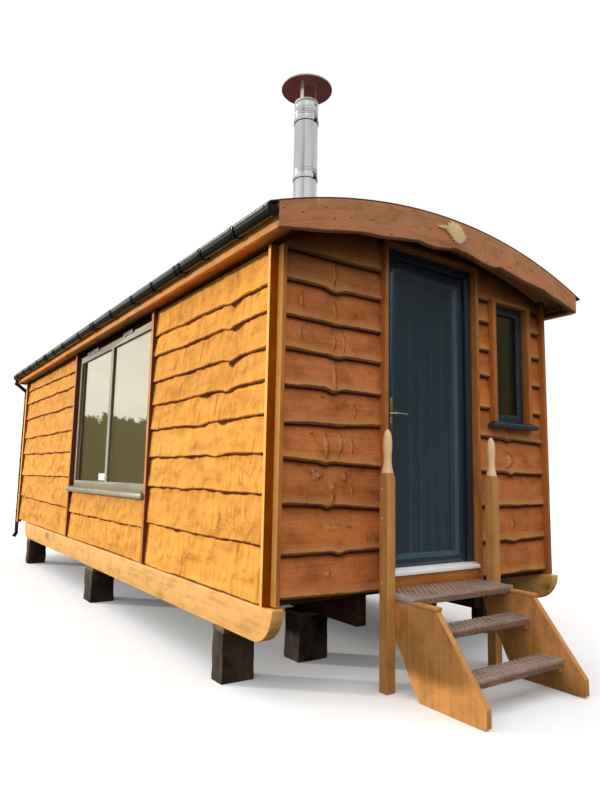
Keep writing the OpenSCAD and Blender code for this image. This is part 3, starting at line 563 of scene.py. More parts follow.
def turned(name, profile, centre, material, segments=96, axis=2):
    """A solid of revolution; the profile gives (radius, height) from one pole or rim to the other."""
    verts, faces, rings = [], [], []
    for r, z in profile:
        count = segments if r > 1e-6 else 1
        rings.append(range(len(verts), len(verts) + count))
        turns = (2 * math.pi * k / segments for k in range(count))
        verts += [(r * math.cos(a), r * math.sin(a), z) for a in turns]
    if len(rings[0]) > 1 and len(rings[-1]) > 1:
        rings.append(rings[0])
    for low, high in zip(rings, rings[1:]):
        for k in range(segments):
            n = (k + 1) % segments
            if len(low) == 1:
                faces.append((low[0], high[n], high[k]))
            elif len(high) == 1:
                faces.append((low[k], low[n], high[0]))
            else:
                faces.append((low[k], low[n], high[n], high[k]))
    # The height, given third, comes to lie along the chosen axis
    order = {0: (2, 0, 1), 1: (1, 2, 0), 2: (0, 1, 2)}[axis]
    verts = [tuple(v[k] + c for k, c in zip(order, centre)) for v in verts]
    return piece(name, verts, faces, material, 30)


def rounded(obj, width, smooth=35, angle=30.0):
    """Rounds a piece's sharp edges, if the width isn't nothing, and shades it."""
    if width:
        bevel = obj.modifiers.new("Eased edges", "BEVEL")
        bevel.width, bevel.segments = width, 2
        bevel.limit_method, bevel.angle_limit = "ANGLE", math.radians(angle)
        obj = baked(obj)
    return shaded(obj, smooth)


def block(name, low, high, material, width=0.001):
    """A box between two corners with rounded edges."""
    verts = [(x, y, z) for x in (low[0], high[0]) for y in (low[1], high[1]) for z in (low[2], high[2])]
    faces = [(0, 1, 3, 2), (4, 6, 7, 5), (0, 4, 5, 1), (2, 3, 7, 6), (0, 2, 6, 4), (1, 5, 7, 3)]
    return rounded(piece(name, verts, faces, material), width)


def swept(name, points, radius, material, sides):
    """A closed round bar through points."""
    curve = bpy.data.curves.new(name, "CURVE")
    curve.dimensions = "3D"
    curve.bevel_depth, curve.bevel_resolution, curve.use_fill_caps = radius, sides // 4 - 1, True
    line = curve.splines.new("POLY")
    line.points.add(len(points) - 1)
    for p, q in zip(line.points, points):
        p.co = (*q, 1)
    obj = baked(placed(name, curve))
    bm = opened(obj.data)
    bmesh.ops.recalc_face_normals(bm, faces=bm.faces)
    closed(bm, obj.data)
    return shaded(coated(obj, material), 40)


def pulled(name, outline, y0, y1, material, width=0.0, smooth=35):
    """A straight bar along the hut, with an outline, between two places."""
    n = len(outline)
    low, high = min(y0, y1), max(y0, y1)
    verts = [(x, y, z) for y in (low, high) for x, z in outline]
    faces = [tuple(range(n)), tuple(range(2 * n - 1, n - 1, -1))]
    faces += [(k, (k + 1) % n, n + (k + 1) % n, n + k) for k in range(n)]
    return rounded(piece(name, verts, faces, material), width, smooth)


# Geometry Nodes

def shape_group(name, inputs):
    """Makes a geometry tree of a function; what it builds is made real and given its finish."""
    def decorated(build):
        def ended(tree, given):
            real = wire(tree, "GeometryNodeRealizeInstances", {0: build(tree, given)})
            return (wire(tree, "GeometryNodeSetMaterial", {"Geometry": real, "Material": given["Finish"]}),)
        sockets = {"Mesh": "Geometry", **inputs, "Finish": "Material"}
        return group(name, sockets, ("Mesh",), "GeometryNodeTree")(ended)
    return decorated


@shape_group("Hewn face", {"Outward": "Vector", "Ripple depth": 0.003, "Ripple pitch": 0.06, "Unevenness": 0.0015})
def relief_tree(tree, given):
    """Hewn ripples, swellings and a fine unevenness that push a board's face outwards."""
    along, rise, face, swell, tint = (
        wire(tree, "GeometryNodeInputNamedAttribute", {"Name": label}, data_type="FLOAT")
        for label in ("along", "rise", "face", "swell", "tint"))
    folds = mottle(merged(along / given["Ripple pitch"], rise * 3.0, tint), 0.75, 2.0, 0.5, 0.6)
    ridge = calc("SUBTRACT", 1.0, abs((folds - 0.5) * 5.0), clamp=True)
    ridge = ridge * span(mottle(merged(along * 2.3, rise * 1.5, tint), 1.0, 2.0), 0.35, 0.6, 0.25, 1.0)
    waves = mottle(merged(along * 7.0, rise * 11.0, 0.0))
    push = (ridge * given["Ripple depth"] + (waves - 0.5) * given["Unevenness"] + swell) * face
    offset = wire(tree, "ShaderNodeVectorMath", {0: given["Outward"], "Scale": push}, operation="SCALE")
    return wire(tree, "GeometryNodeSetPosition", {"Geometry": given["Mesh"], "Offset": offset})


@shape_group("Netting wire", {"Gauge": 0.001, "Sides": 4})
def wire_tree(tree, given):
    """Round wire along the edges of a mesh."""
    lines = wire(tree, "GeometryNodeMeshToCurve", {"Mesh": given["Mesh"]})
    ring = wire(tree, "GeometryNodeCurvePrimitiveCircle", {"Resolution": given["Sides"], "Radius": given["Gauge"]})
    return wire(tree, "GeometryNodeCurveToMesh", {"Curve": lines, "Profile Curve": ring, "Fill Caps": True})


@shape_group("Set in a row", {"Part": "Object", "Turn": "Vector"})
def row_tree(tree, given):
    """Copies of one part on points, all turned alike."""
    shape = wire(tree, "GeometryNodeObjectInfo", {"Object": given["Part"]}, out="Geometry")
    points = wire(tree, "GeometryNodeMeshToPoints", {"Mesh": given["Mesh"]})
    turn = wire(tree, "FunctionNodeEulerToRotation", {0: given["Turn"]})
    return wire(tree, "GeometryNodeInstanceOnPoints", {"Points": points, "Instance": shape, "Rotation": turn})


def grown(obj, tree_of, **values):
    """Runs a geometry tree on an object, with its inputs given by name, and bakes the result."""
    tree, values["Finish"] = tree_of(), obj.data.materials[0]
    modifier = obj.modifiers.new(tree.name, "NODES")
    modifier.node_group = tree
    for socket in tree.interface.items_tree:
        key = socket.name.replace(" ", "_")
        if socket.in_out == "INPUT" and key in values:
            modifier[socket.identifier] = values[key]
    return baked(obj)


def from_lines(name, points, lines, material):
    """A bare mesh of points and lines, for a geometry tree to work on."""
    mesh = bpy.data.meshes.new(name)
    mesh.from_pydata(points, lines, [])
    return wrap(name, mesh, material)


def row(name, places, part, material, turn=(0, 0, 0)):
    """Copies of a part at places, as one mesh."""
    obj = grown(from_lines(name, places, [], material), row_tree, Part=part, Turn=turn)
    obj.data.set_sharp_from_angle(angle=math.radians(35))
    return obj


def solids_of(node):
    """Boxes (low, high) of a node's loose parts."""
    mesh = closed(opened(frame["nodes"][node].data), bpy.data.meshes.new("count"))
    boxes = []
    for part in islands(mesh):
        co = np.array([mesh.vertices[i].co for i in part])
        boxes.append((Vector(co.min(0)), Vector(co.max(0))))
    bpy.data.meshes.remove(mesh)
    return boxes


# Boards

LAP = 0.030
SWELLING = 2.0
BOARD_OUT = 0.033
BOARD_TOP = 0.0125
# Distance over a board's top, or over an opening, at which no board covers it any more
CLEAR = 0.06
# Room for rounding between boards and what they meet
HAIR = 0.0003
# Heights of the screws in the left newel post
SCREW_HEIGHTS = (0.612, 0.984, 1.156)
# Trickle vents in the head of the wide window: ends along the wall and the drop of their middle
VENTS = ((2.373, 2.640), (3.409, 3.811))
VENT_DROP = 0.036
# How far the right gutter's end lies behind the left one's
RIGHT_GUTTER_BACK = 0.055
# Painted shadow under each overlap: steps below the upper board's edge at which it fades, and how dark each is
SOFT_SHADE = ((0.050, 0.0), (0.036, 0.12), (0.026, 0.30), (0.018, 0.52), (0.011, 0.88), (0.004, 1.0))
SHARP_SHADE = ((0.021, 0.0), (0.018, 0.25), (0.0150, 0.90), (0.008, 1.0), (0.004, 1.0), (0.0005, 1.0))


def between(low, value, high):
    """A value kept between two limits."""
    return max(low, min(high, value))


def hump(x, middle, width):
    """A smooth hump of height one."""
    return math.exp(-((x - middle) / width) ** 2)


def board_columns(t0, t1, step, cuts):
    """Places along a board, close on both sides of each cut."""
    ts = set(np.linspace(t0, t1, max(2, int((t1 - t0) / step)) + 1))
    ts.update(t for c in cuts for t in (c - HAIR, c + HAIR) if t0 < t < t1)
    return sorted(ts)


def strip(rings, caps):
    """Faces between closed rings of points in a row, and on the first and the last one."""
    faces = []
    for before, ring in zip(rings, rings[1:]):
        n = len(ring)
        faces += [(before[i], before[(i + 1) % n], ring[(i + 1) % n], ring[i]) for i in range(n)]
    return [tuple(rings[0]), *faces, tuple(reversed(rings[-1]))] if caps else faces


def mapped(obj, uv, layers):
    """Gives a mesh its named point values and, from its points, its grain map."""
    mesh = obj.data
    point_values(mesh, **layers)
    points = np.empty(len(mesh.loops), np.int32)
    mesh.loops.foreach_get("vertex_index", points)
    mesh.uv_layers.new(name="grain").data.foreach_set("uv", np.array(uv)[points].ravel())
    return obj


# Each wall's way outwards, and the point at a place along it, a height and a depth outwards
WALLS = {
    "front": ((0, -1, 0), lambda t, z, d: (t, FRONT - d, z)),
    "rear": ((0, 1, 0), lambda t, z, d: (t, REAR + d, z)),
    "left": ((-1, 0, 0), lambda t, z, d: (-HALF - d, FRONT + t, z)),
    "right": ((1, 0, 0), lambda t, z, d: (HALF + d, FRONT + t, z)),
}


def waney_boards(name, boards, wall, material, step, seed, ripple, pitch, uneven, band, hole=None, rows=9,
                 wander=0.006, toward=0.0, fade=SOFT_SHADE):
    """Lapped boards with a waney lower edge on one wall, as one piece.

    Each board gives its ends, its lower and upper edge as functions of the place along it, its
    dips (place, depth, width) and its knots (place, height, half width, half height, swelling).
    """
    rng = random.Random(seed)
    outward, place = WALLS[wall]
    verts, faces, uv = [], [], []
    layers = {k: [] for k in ("along", "rise", "face", "swell", "wane", "sap", "bump_side", "shade", "tint")}
    phases = [rng.uniform(0, 90) for _ in boards]

    def swelling(t, z, c, q, w, v, _):
        """Place across and amount of one swelling, which leans and bends by its own share."""
        lean = noise.noise((c * 37, q * 41, 1)) * 0.7
        bend = noise.noise((c * 53, q * 29, 8)) * 2.2
        up = (z - q) / v
        u = (t - c) / w - lean * up - bend * up * up
        return u, math.exp(-u * u - up * up) * (1.0 + 0.5 * noise.noise((t * 90, z * 60, 4)))

    def edge(k, t):
        """Height of the lower edge of board k."""
        *_, low, _, dips, _ = boards[k]
        wave = noise.noise((t * 2.7, phases[k], 0)) + 0.35 * noise.noise((t * 8.5, phases[k], 5)) \
            + 0.12 * noise.noise((t * 31.0, phases[k], 3))
        return low(t) + wander * wave - sum(d * hump(t, c, w) for c, d, w in dips)

    def outline(wide, rise, lap, lift, stretch):
        """Outline of a board as (height, depth, share of the relief, waney share), and its shaded points."""
        loop = [(0.004, BOARD_TOP + 0.001, 0, 1.0), (0.0, 0.0235 - lift, 0, 1.0),
                (0.10 * wide, 0.0275 - lift, 0.3, 1.0), (0.40 * wide, 0.0305 - 0.4 * lift, 0.5, 1.0),
                (0.80 * wide, BOARD_OUT - 0.0006, 0.7, 1.0), (wide, BOARD_OUT, 1.0, 0.9),
                (wide + 0.0035, BOARD_OUT, 1.0, 0.0)]
        fades = [(lap - d * stretch, v) for d, v in fade]
        start = wide + 0.0035
        body_top = min(fades[0][0], rise - 0.004)
        slope = (BOARD_OUT - BOARD_TOP) / rise
        for i in range(1, rows + 1):
            h = start + max(0.002, body_top - start) * i / rows
            loop.append((h, BOARD_OUT - slope * h, 1.0, 0.0))
        last, dark = h, {}
        for h, v in (*fades[1:], (rise, 1.0)):
            last = max(last + 0.0002, min(h, rise))
            dark[len(loop)] = v if rise > lap - 0.05 else 0.0
            loop.append((last, BOARD_OUT - slope * min(last, rise), 1.0 if last < rise - 0.001 else 0.3, 0.0))
        return loop + [(last, 0.0008, 0, 0), (min(LAP + 0.006, rise * 0.9), 0.0008, 0, 0),
                       (min(LAP + 0.005, rise * 0.85), BOARD_TOP + 0.0005, 0, 0)], dark
    for k, (t0, t1, low, top, dips, knots) in enumerate(boards):
        tone, phase = rng.uniform(0.1, 0.9), phases[k]
        du, dv = rng.uniform(-40, 40), rng.uniform(-40, 40)
        rings = []
        for t in board_columns(t0, t1, step, hole[:2] if hole else ()):
            zl, zt = edge(k, t), top(t)
            over = [edge(j, t) for j, b in enumerate(boards) if b[0] <= t <= b[1] and b[2](t) > low(t) + CLEAR]
            lap = min(over) if over else zt + CLEAR
            if hole and hole[0] < t < hole[1]:
                if zl < hole[2] < zt:
                    zt = hole[2]
                    lap = zt + CLEAR
                elif zl < hole[3] < zt:
                    zl = hole[3]
            wide = band * (1.0 + 0.45 * noise.noise((t * 5.0, phase, 9)) + 0.25 * noise.noise((t * 23.0, phase, 7)))
            # Where the lower edge rises towards the front corner, the painted shadow under it is drawn wider, as a
            # low sun from behind would cast it
            lean = toward * (edge(k, t - 0.035) - edge(k, t + 0.035)) / 0.07 if toward else 0.0
            loop, dark = outline(wide, zt - zl, min(lap, zt + CLEAR) - zl, between(0.0, -0.03 * lean, 0.009),
                                 between(0.22, 0.62 + 8.0 * lean, 2.2) if toward else 1.0)
            rings.append(range(len(verts), len(verts) + len(loop)))
            for i, (h, d, face, wane) in enumerate(loop):
                z = zl + h
                verts.append(place(t, z, d))
                uv.append((t + du, z + dv))
                bumps = [swelling(t, z, *knot) for knot in knots]
                swell = SWELLING * sum(b * knot[4] for knot, (u, b) in zip(knots, bumps))
                # Painted light on the swellings: the flank away from the key light is darkened (painted shade), the
                # flank towards it and the middle are lightened (painted highlight), stored with the sapwood values
                side = max((hump(b, 0.34, 0.24) if u > 0 else 0.3 * hump(b, 0.2, 0.1) for u, b in bumps), default=0.0)
                pale = max((between(0.0, (b - 0.25) * 2.2, 0.72) * (1.0 if u < 0.25 else 0.1) for u, b in bumps),
                           default=0.0)
                sap = max(0.0, 1.0 - (h - wide) / 0.05) if h > wide and i < len(loop) - 3 else 0.0
                values = (t, z, face, swell, wane, 0.85 * max(sap, pale), side, dark.get(i, 0.0), tone)
                for key, value in zip(layers, values):
                    layers[key].append(value)
        faces += strip(rings, True)
    obj = mapped(piece(name, verts, faces, material), uv, layers)
    obj = grown(obj, relief_tree, Outward=outward, Ripple_depth=ripple, Ripple_pitch=pitch, Unevenness=uneven)
    settle(shaded(obj, 50), wall + "_cladding")


def straight(z0, z1, t0, t1):
    """A straight edge between two heights."""
    return lambda t: z0 + (z1 - z0) * (t - t0) / (t1 - t0)


def courses(t0, t1, edges, ceiling, dips=None, knots=None, hole=None):
    """Boards from the heights of their lower edges at both ends, from the bottom one up."""
    made = []
    for k, (a, b) in enumerate(edges):
        top = ceiling
        if k + 1 < len(edges):
            above = straight(*edges[k + 1], t0, t1)
            top = (lambda f: lambda t: min(f(t) + LAP, ceiling(t)))(above)
        ends = [(t0, t1)]
        if hole and min(a, b) > hole[2] - 0.02 and top(t0) < hole[3] + 0.02:
            ends = [(t0, hole[0]), (hole[1], t1)]
        for e0, e1 in ends:
            made.append((e0, e1, straight(a, b, t0, t1), top, (dips or {}).get(k, ()), (knots or {}).get(k, ())))
    return made


# Heights of the boards' lower edges at both ends of a wall
FRONT_LEFT = ((0.548, 0.531), (0.781, 0.782), (1.061, 1.030), (1.315, 1.282), (1.512, 1.536), (1.735, 1.735),
              (1.940, 1.940), (2.140, 2.140), (2.355, 2.355), (2.545, 2.545))
FRONT_RIGHT = ((0.546, 0.546), (0.779, 0.789), (1.031, 1.034), (1.281, 1.265), (1.531, 1.508), (1.736, 1.733),
               (1.977, 1.954), (2.167, 2.178), (2.374, 2.376), (2.550, 2.550))
SIDE_NEAR = tuple((z, z) for z in (0.523, 0.835, 1.120, 1.345, 1.560, 1.760, 1.950, 2.160, 2.325))
SIDE_FAR = ((0.523, 0.523), (0.829, 0.867), (1.170, 1.170), (1.450, 1.474), (1.700, 1.700), (1.978, 1.978),
            (2.195, 2.216), (2.371, 2.405))


# Finishes

def tones(colour, dark, light):
    """Dark, middle and light shades of a wood."""
    return (tuple(c * dark * k for c, k in zip(colour, (1.0, 0.92, 0.85))), tuple(colour),
            tuple(min(0.95, c * light) for c in colour))


# Settings shared by sawn trims, by the posts and by the painted joinery
SAWN = dict(rings=90, knots=0.9, knot_size=0.2, depth=0.0006)
POSTS = dict(rings=70, knot_size=0.3, tint=0.04)
# gable is the strength of the painted shade under the gable board
PAINT = dict(rough=0.2, wear=0.0, depth=0.0, shine=0.7, gable=0.85)
RECIPES = {
    # The third colour of each wane entry is the painted shadow under the board above
    "front boards": lambda s: timber(
        "Front boards", tones(s.front_tone, 0.62, 1.3), knot=(0.12, 0.035, 0.012),
        wane=(s.wane_tone, s.sap_tone, (0.045, 0.004, 0.001)), rings=120, figure=0.35, knots=1.3, knot_size=0.12,
        rough=0.5, depth=0.0026, tint=0.10, marks=0.7, hewn=0.35, shine=0.12, gable=0.97),
    "side boards": lambda s: timber(
        "Side boards", tones(s.side_tone, 0.72, 1.12), knot=(0.40, 0.14, 0.02),
        wane=(s.side_wane_tone, s.side_tone, (0.055, 0.005, 0.001)), rings=120, figure=0.22, knots=1.2,
        knot_size=0.10, rough=0.6, depth=0.0036, tint=0.08, marks=0.35, hewn=1.2, shine=0.04),
    "battens": lambda s: timber(
        "Battens", tones(s.batten_tone, 0.7, 1.25), rings=90, knots=2.6, knot_size=0.16, knot=(0.16, 0.04, 0.012),
        tint=0.10, depth=0.0006, gable=0.85),
    "bargeboards": lambda s: timber(
        "Bargeboards", tones(s.barge_tone, 0.72, 1.2), knot=(0.06, 0.018, 0.008),
        wane=(s.barge_wane_tone, s.barge_tone, (0.05, 0.01, 0.003)), rings=80, knots=6.0, knot_size=0.36, rough=0.5,
        tint=0.08),
    "shaded battens": lambda s: timber("Batten sides", tones(s.shaded_tone, 0.7, 1.3), tint=0.10, **SAWN),
    "soffits": lambda s: timber("Soffits", tones(s.soffit_tone, 0.7, 1.3), tint=0.10, shine=0.05,
                                inward_shade=(HALF + 0.055, HALF + 0.115), **SAWN),
    "batten sides": lambda s: timber("Batten sides in shade", tones(s.batten_side_tone, 0.7, 1.3), tint=0.10,
                                     shine=0.02, **SAWN),
    "batten edges": lambda s: timber("Batten edges in sun", tones(s.batten_edge_tone, 0.8, 1.1), tint=0.06,
                                     shine=0.05, **SAWN),
    "batten returns": lambda s: timber("Batten returns", tones(s.batten_return_tone, 0.8, 1.15), tint=0.06,
                                       shine=0.05, **SAWN),
    "head packer": lambda s: timber("Packer in the shade", ((0.012, 0.005, 0.003), (0.025, 0.010, 0.005),
                                    (0.04, 0.016, 0.008)), rings=60, knots=0.5, rough=0.8, shine=0.0),
    "fascias": lambda s: timber("Fascias", tones(s.fascia_tone, 0.72, 1.2), rings=80, knots=1.0, knot_size=0.3,
                                tint=0.08, depth=0.0006, shine=0.04),
    "skids": lambda s: timber("Skids", tones(s.skid_tone, 0.66, 1.15), knot=(0.35, 0.14, 0.04), rings=26, knots=0.9,
                              tint=0.06),
    "piers": lambda s: timber("Sleepers", ((0.008, 0.006, 0.004), (0.022, 0.015, 0.010), (0.09, 0.055, 0.03)),
                              rings=70, fibre=0.5, rough=0.75, depth=0.004, tint=0.35,
                              dust=((0.16, 0.11, 0.07), 4.0, 0.45)),
    "packings": lambda s: timber("Packing boards", ((0.05, 0.03, 0.015), (0.13, 0.075, 0.038), (0.25, 0.16, 0.09)),
                                 rings=60, rough=0.7, depth=0.002, tint=0.3),
    "floor timber": lambda s: timber("Floor timber", ((0.014, 0.005, 0.003), (0.035, 0.012, 0.006),
                                     (0.07, 0.026, 0.012)), rings=60, rough=0.7),
    "steps": lambda s: timber("Step timber", tones(s.step_tone, 0.68, 1.25), rings=40, knots=2.6, knot_size=0.09,
                              tint=0.08, marks=0.7),
    "newels": lambda s: timber("Newel timber", tones(s.newel_tone, 0.74, 1.15), knots=0.7, depth=0.0006, **POSTS),
    "grips": lambda s: timber("Carved grips", tones(s.grip_tone, 0.8, 1.1), knots=0.4, depth=0.0005, **POSTS),
    "treads": lambda s: timber("Tread boards", ((0.14, 0.10, 0.08), (0.36, 0.28, 0.24), (0.62, 0.52, 0.47)),
                               rings=70, fibre=0.5, rough=0.7, depth=0.002, tint=0.15),
    "leaf": lambda s: timber("Leaf ply", ((0.60, 0.42, 0.20), (0.80, 0.60, 0.32), (0.92, 0.74, 0.46)), rings=90,
                             knots=0.1, rough=0.55, tint=0.0),
    "lining": lambda s: boarded("Lining boards", (0.55, 0.38, 0.22), (0.74, 0.56, 0.36), 0.095),
    "ceiling": lambda s: boarded("Ceiling boards", (0.30, 0.13, 0.05), (0.46, 0.22, 0.09), 0.12),
    "floor boards": lambda s: boarded("Floor boards", (0.40, 0.25, 0.13), (0.60, 0.42, 0.25), 0.14, rough=0.4),
    "roof": lambda s: satin("Roof sheet", (0.03, 0.03, 0.033), rough=0.6, wear=0.08, worn=(0.09, 0.085, 0.08)),
    "rainwater": lambda s: satin("Rainwater goods", s.gutter_tone, rough=0.07, wear=0.0, depth=0.000001),
    "gutter lips": lambda s: satin("Gutter lips", (0.50, 0.48, 0.36), rough=0.2, metal=0.6, wear=0.0, depth=0.0),
    "stop ends": lambda s: satin("Gutter stop ends", s.gutter_tone, rough=0.3, wear=0.0, shine=0.12),
    "joinery": lambda s: satin("Joinery paint", s.joinery_tone, **PAINT),
    "lit joinery": lambda s: satin("Joinery paint on the beads", tuple(c * 2.4 for c in s.joinery_tone), **PAINT),
    "side frame": lambda s: satin("Side frame paint", s.side_frame_tone, rough=0.4, wear=0.04),
    "threshold": lambda s: brushed("Threshold metal", (0.97, 0.98, 1.0), rough=0.45, metal=0.0, lines=0.05),
    "white": lambda s: satin("White screws", (0.90, 0.88, 0.82), rough=0.4),
    "brass": lambda s: brushed("Lacquered brass", (0.60, 0.50, 0.10), rough=0.3, along=(1, 1, 1), lines=0.0),
    "gasket": lambda s: satin("Gasket rubber", (0.012, 0.012, 0.013), rough=0.6, wear=0.02),
    "furniture": lambda s: brushed("Door furniture", (0.78, 0.74, 0.66), rough=0.2),
    "flue": lambda s: brushed("Flue steel", s.flue_tone, rough=0.14, along=(1, 1, 0.02), lines=1.0,
                              streaks=(7, 7, 0.1), dull=0.55),
    "clips": lambda s: satin("Band clips", (0.05, 0.05, 0.055), rough=0.4, metal=0.6),
    "cowl": lambda s: brushed("Cowl sheet", (0.62, 0.58, 0.55), rough=0.3, lines=0.5),
    "cowl inside": lambda s: satin("Cowl inside", (0.46, 0.14, 0.12), rough=0.4, wear=0.2, shine=0.1),
    "cowl stems": lambda s: satin("Cowl stems", (0.80, 0.76, 0.64), rough=0.4, wear=0.0, shine=0.3),
    "twists": lambda s: brushed("Twisted wire", (0.58, 0.46, 0.40), rough=0.5, metal=0.3),
    "wires": lambda s: brushed("Netting wire", (0.46, 0.22, 0.12), rough=0.5, metal=0.3),
    # The wide window's cream tint with a large mirror share is partly a painted reflection of a bright, warm sky
    "glass": lambda s: clear_glass("Glazing", (0.96, 0.90, 0.66), 0.72),
    "front glass": lambda s: clear_glass("Front glazing", (0.20, 0.21, 0.16), 0.2),
}
FINISHES = {}


def finish(name):
    """A finish of the hut, made on first use."""
    if name not in FINISHES:
        FINISHES[name] = RECIPES[name](bpy.context.scene.hut)
    return FINISHES[name]


# Pieces

OPERATORS = []


def operator(label):
    """Makes an operator of a function that builds one group of pieces."""
    def decorated(build):
        def execute(self, context):
            build(context.scene.hut)
            return {"FINISHED"}
        key = build.__name__.removeprefix("build_")
        OPERATORS.append(type("HUT_OT_" + key, (bpy.types.Operator,), {
            "bl_idname": "hut." + key, "bl_label": label, "bl_options": {"REGISTER", "UNDO"},
            "__doc__": build.__doc__, "execute": execute}))
        return build
    return decorated


@operator("Stage")
def build_stage(s):
    """Pale floor, white surround, soft key light from the left and the camera."""
    scene = bpy.context.scene
    floor, tree, shader = bare_material("Studio floor", Roughness=0.9)
    rays = outs(put(tree, "ShaderNodeLightPath"))
    tone = blend(rays["Is Glossy Ray"], (s.floor_tone,) * 3, (0.025, 0.025, 0.02))
    feed(shader, Base_Color=blend(rays["Is Camera Ray"], tone, (0.9, 0.9, 0.9)))
    glow = wire(tree, "ShaderNodeEmission", {"Strength": rays["Is Camera Ray"] * s.floor_glow})
    both = wire(tree, "ShaderNodeAddShader", {0: Wire(shader.outputs[0]), 1: glow})
    feed(tree.nodes["Material Output"], Surface=both)
    wide = 60
    ground = piece("Studio floor", [(-wide, -wide, 0), (wide, -wide, 0), (wide, wide, 0), (-wide, wide, 0)],
                   [(0, 1, 2, 3)], floor)
    sun = placed("Key light", bpy.data.lights.new("Key light", "SUN"))
    sun.data.energy, sun.data.angle, sun.data.color = s.key_strength, math.radians(4), (1.0, 0.95, 0.88)
    sun.rotation_euler = Vector(s.key_from).to_track_quat("Z", "Y").to_euler()
    ground.name, sun.name = "studio_floor", "key_light"

    # Bright sky that only mirrors and the camera see whole, over a dark line of woods
    scene.world = world = bpy.data.worlds.new("Surround")
    world.use_nodes = True
    tree = world.node_tree
    rays = outs(put(tree, "ShaderNodeLightPath"))
    mirrored = rays["Is Glossy Ray"]
    place = wire(tree, "ShaderNodeTexCoord", out="Generated")
    rise = split(place)[2]
    ahead = wire(tree, "ShaderNodeVectorMath", {0: place, 1: (1.0, 0.0, 0.0)}, out="Value", operation="DOT_PRODUCT")
    hills = span(ahead, 0.46, 0.72, 0.088, 0.36) + (mottle(place, 60.0, 4, 0.7) - 0.5) * 0.06
    sky = span(rise - hills, -0.002, 0.004, 0.12, 1.0)
    sky = sky * span(mottle(stretched(place, (1, 1, 3)), 2.2, 4), 0.35, 0.65, 0.78, 1.0)
    sky = sky * span(rise, 0.22, 0.50, 1.0, 0.78)
    level = span(rise, 0.0, 1.0, s.surround * 0.40, s.surround * 2.0) * span(ahead, -1.0, 1.0, 1.4, 0.75)
    seen = calc("MAXIMUM", rays["Is Camera Ray"], rays["Is Transmission Ray"])
    woods = span(sky, 0.35, 0.2) * mirrored
    feed(tree.nodes["Background"], Color=blend(woods, (1.0, 1.0, 1.0), (1.0, 0.93, 0.55)),
         Strength=calc("MAXIMUM", blend(mirrored, level, sky), seen))

    scene.camera = eye = placed("Camera", bpy.data.cameras.new("Camera"))
    eye.data.lens, eye.data.sensor_width, eye.data.sensor_fit = s.lens, 36.0, "AUTO"
    yaw, pitch, roll = (math.radians(a) for a in s.camera_turn)
    forward = Vector((-math.sin(yaw) * math.cos(pitch), math.cos(yaw) * math.cos(pitch), math.sin(pitch)))
    right = Vector((math.cos(yaw), math.sin(yaw), 0))
    up = right.cross(forward)
    across = right * math.cos(roll) + up * math.sin(roll)
    up = up * math.cos(roll) - right * math.sin(roll)
    eye.matrix_world = Matrix.Translation(s.camera_place) @ Matrix((across, up, -forward)).transposed().to_4x4()
    scene.view_settings.view_transform = "Standard"


def shaken(place):
    """Three noises at a place, as a vector."""
    return Vector([noise.noise(place + Vector((17.3, 5.9, 11.1)) * k) for k in range(3)])


def rough_block(name, low, high, seed, depth, material):
    """A block with an uneven, split surface."""
    bm = bmesh.new()
    size, middle = high - low, (low + high) / 2
    counts = [max(2, int(c / 0.02)) for c in size]
    rng = random.Random(seed)
    shift = Vector([rng.uniform(0, 50) for _ in range(3)])
    made = {}

    def corner(*key):
        """The point at a place of the block's grid."""
        if key not in made:
            p = Vector([a + b * k / n for a, b, k, n in zip(low, size, key, counts)])
            push = shaken(p * 9.0 + shift) * depth
            push += shaken(Vector((p.x * 60, p.y * 60, p.z * 5)) + shift) * depth * 0.45
            ends = sum(k in (0, n) for k, n in zip(key, counts))
            push += (middle - p).normalized() * (0.004 * (ends - 1) + 0.003)
            if key[2] in (0, counts[2]):
                push.z = 0
            made[key] = bm.verts.new(p + push)
        return made[key]
    for a, b, c in ((0, 1, 2), (1, 2, 0), (2, 0, 1)):
        for end in (0, counts[c]):
            for i in range(counts[a]):
                for j in range(counts[b]):
                    ring = []
                    for di, dj in ((0, 0), (1, 0), (1, 1), (0, 1)):
                        key = [0, 0, 0]
                        key[a], key[b], key[c] = i + di, j + dj, end
                        ring.append(corner(*key))
                    bm.faces.new(ring)
    bmesh.ops.recalc_face_normals(bm, faces=bm.faces)
    return wrap(name, closed(bm, bpy.data.meshes.new("block")), material)


@operator("Piers and skids")
def build_base(s):
    """Sleeper piers, packing boards, skids and bearers."""
    for node, name, material, depth, axis in (("sleeper_piers", "Sleeper piers", "piers", 0.007, 2),
                                              ("pier_packings", "Packing boards", "packings", 0.003, None)):
        blocks = [rough_block("Block", low, high, 11 + k, depth, material)
                  for k, (low, high) in enumerate(solids_of(node))]
        settle(grain_map(shaded(joined(name, blocks), 40), 5, axis, (0.0, 1.0)), node)
    dress("side_skids", "Side skids", "skids", width=0.004, axis=1, seed=31, tints=(0.4, 0.8))
    dress("inner_bearers", "Inner bearers", "floor timber", width=0.003, axis=1, seed=7)


@operator("Floor")
def build_floor(s):
    """Joists, deck and floor boards."""
    dress("floor_joists", "Floor joists", "floor timber", width=0.002, seed=3)
    dress("floor_deck", "Floor deck", "floor timber", width=0.0, seed=4)
    paint("floor_boards", "floor boards")


@operator("Walls")
def build_walls(s):
    """Lining on the walls."""
    for node in frame["nodes"]:
        if "_wall" in node:
            paint(node, "lining")


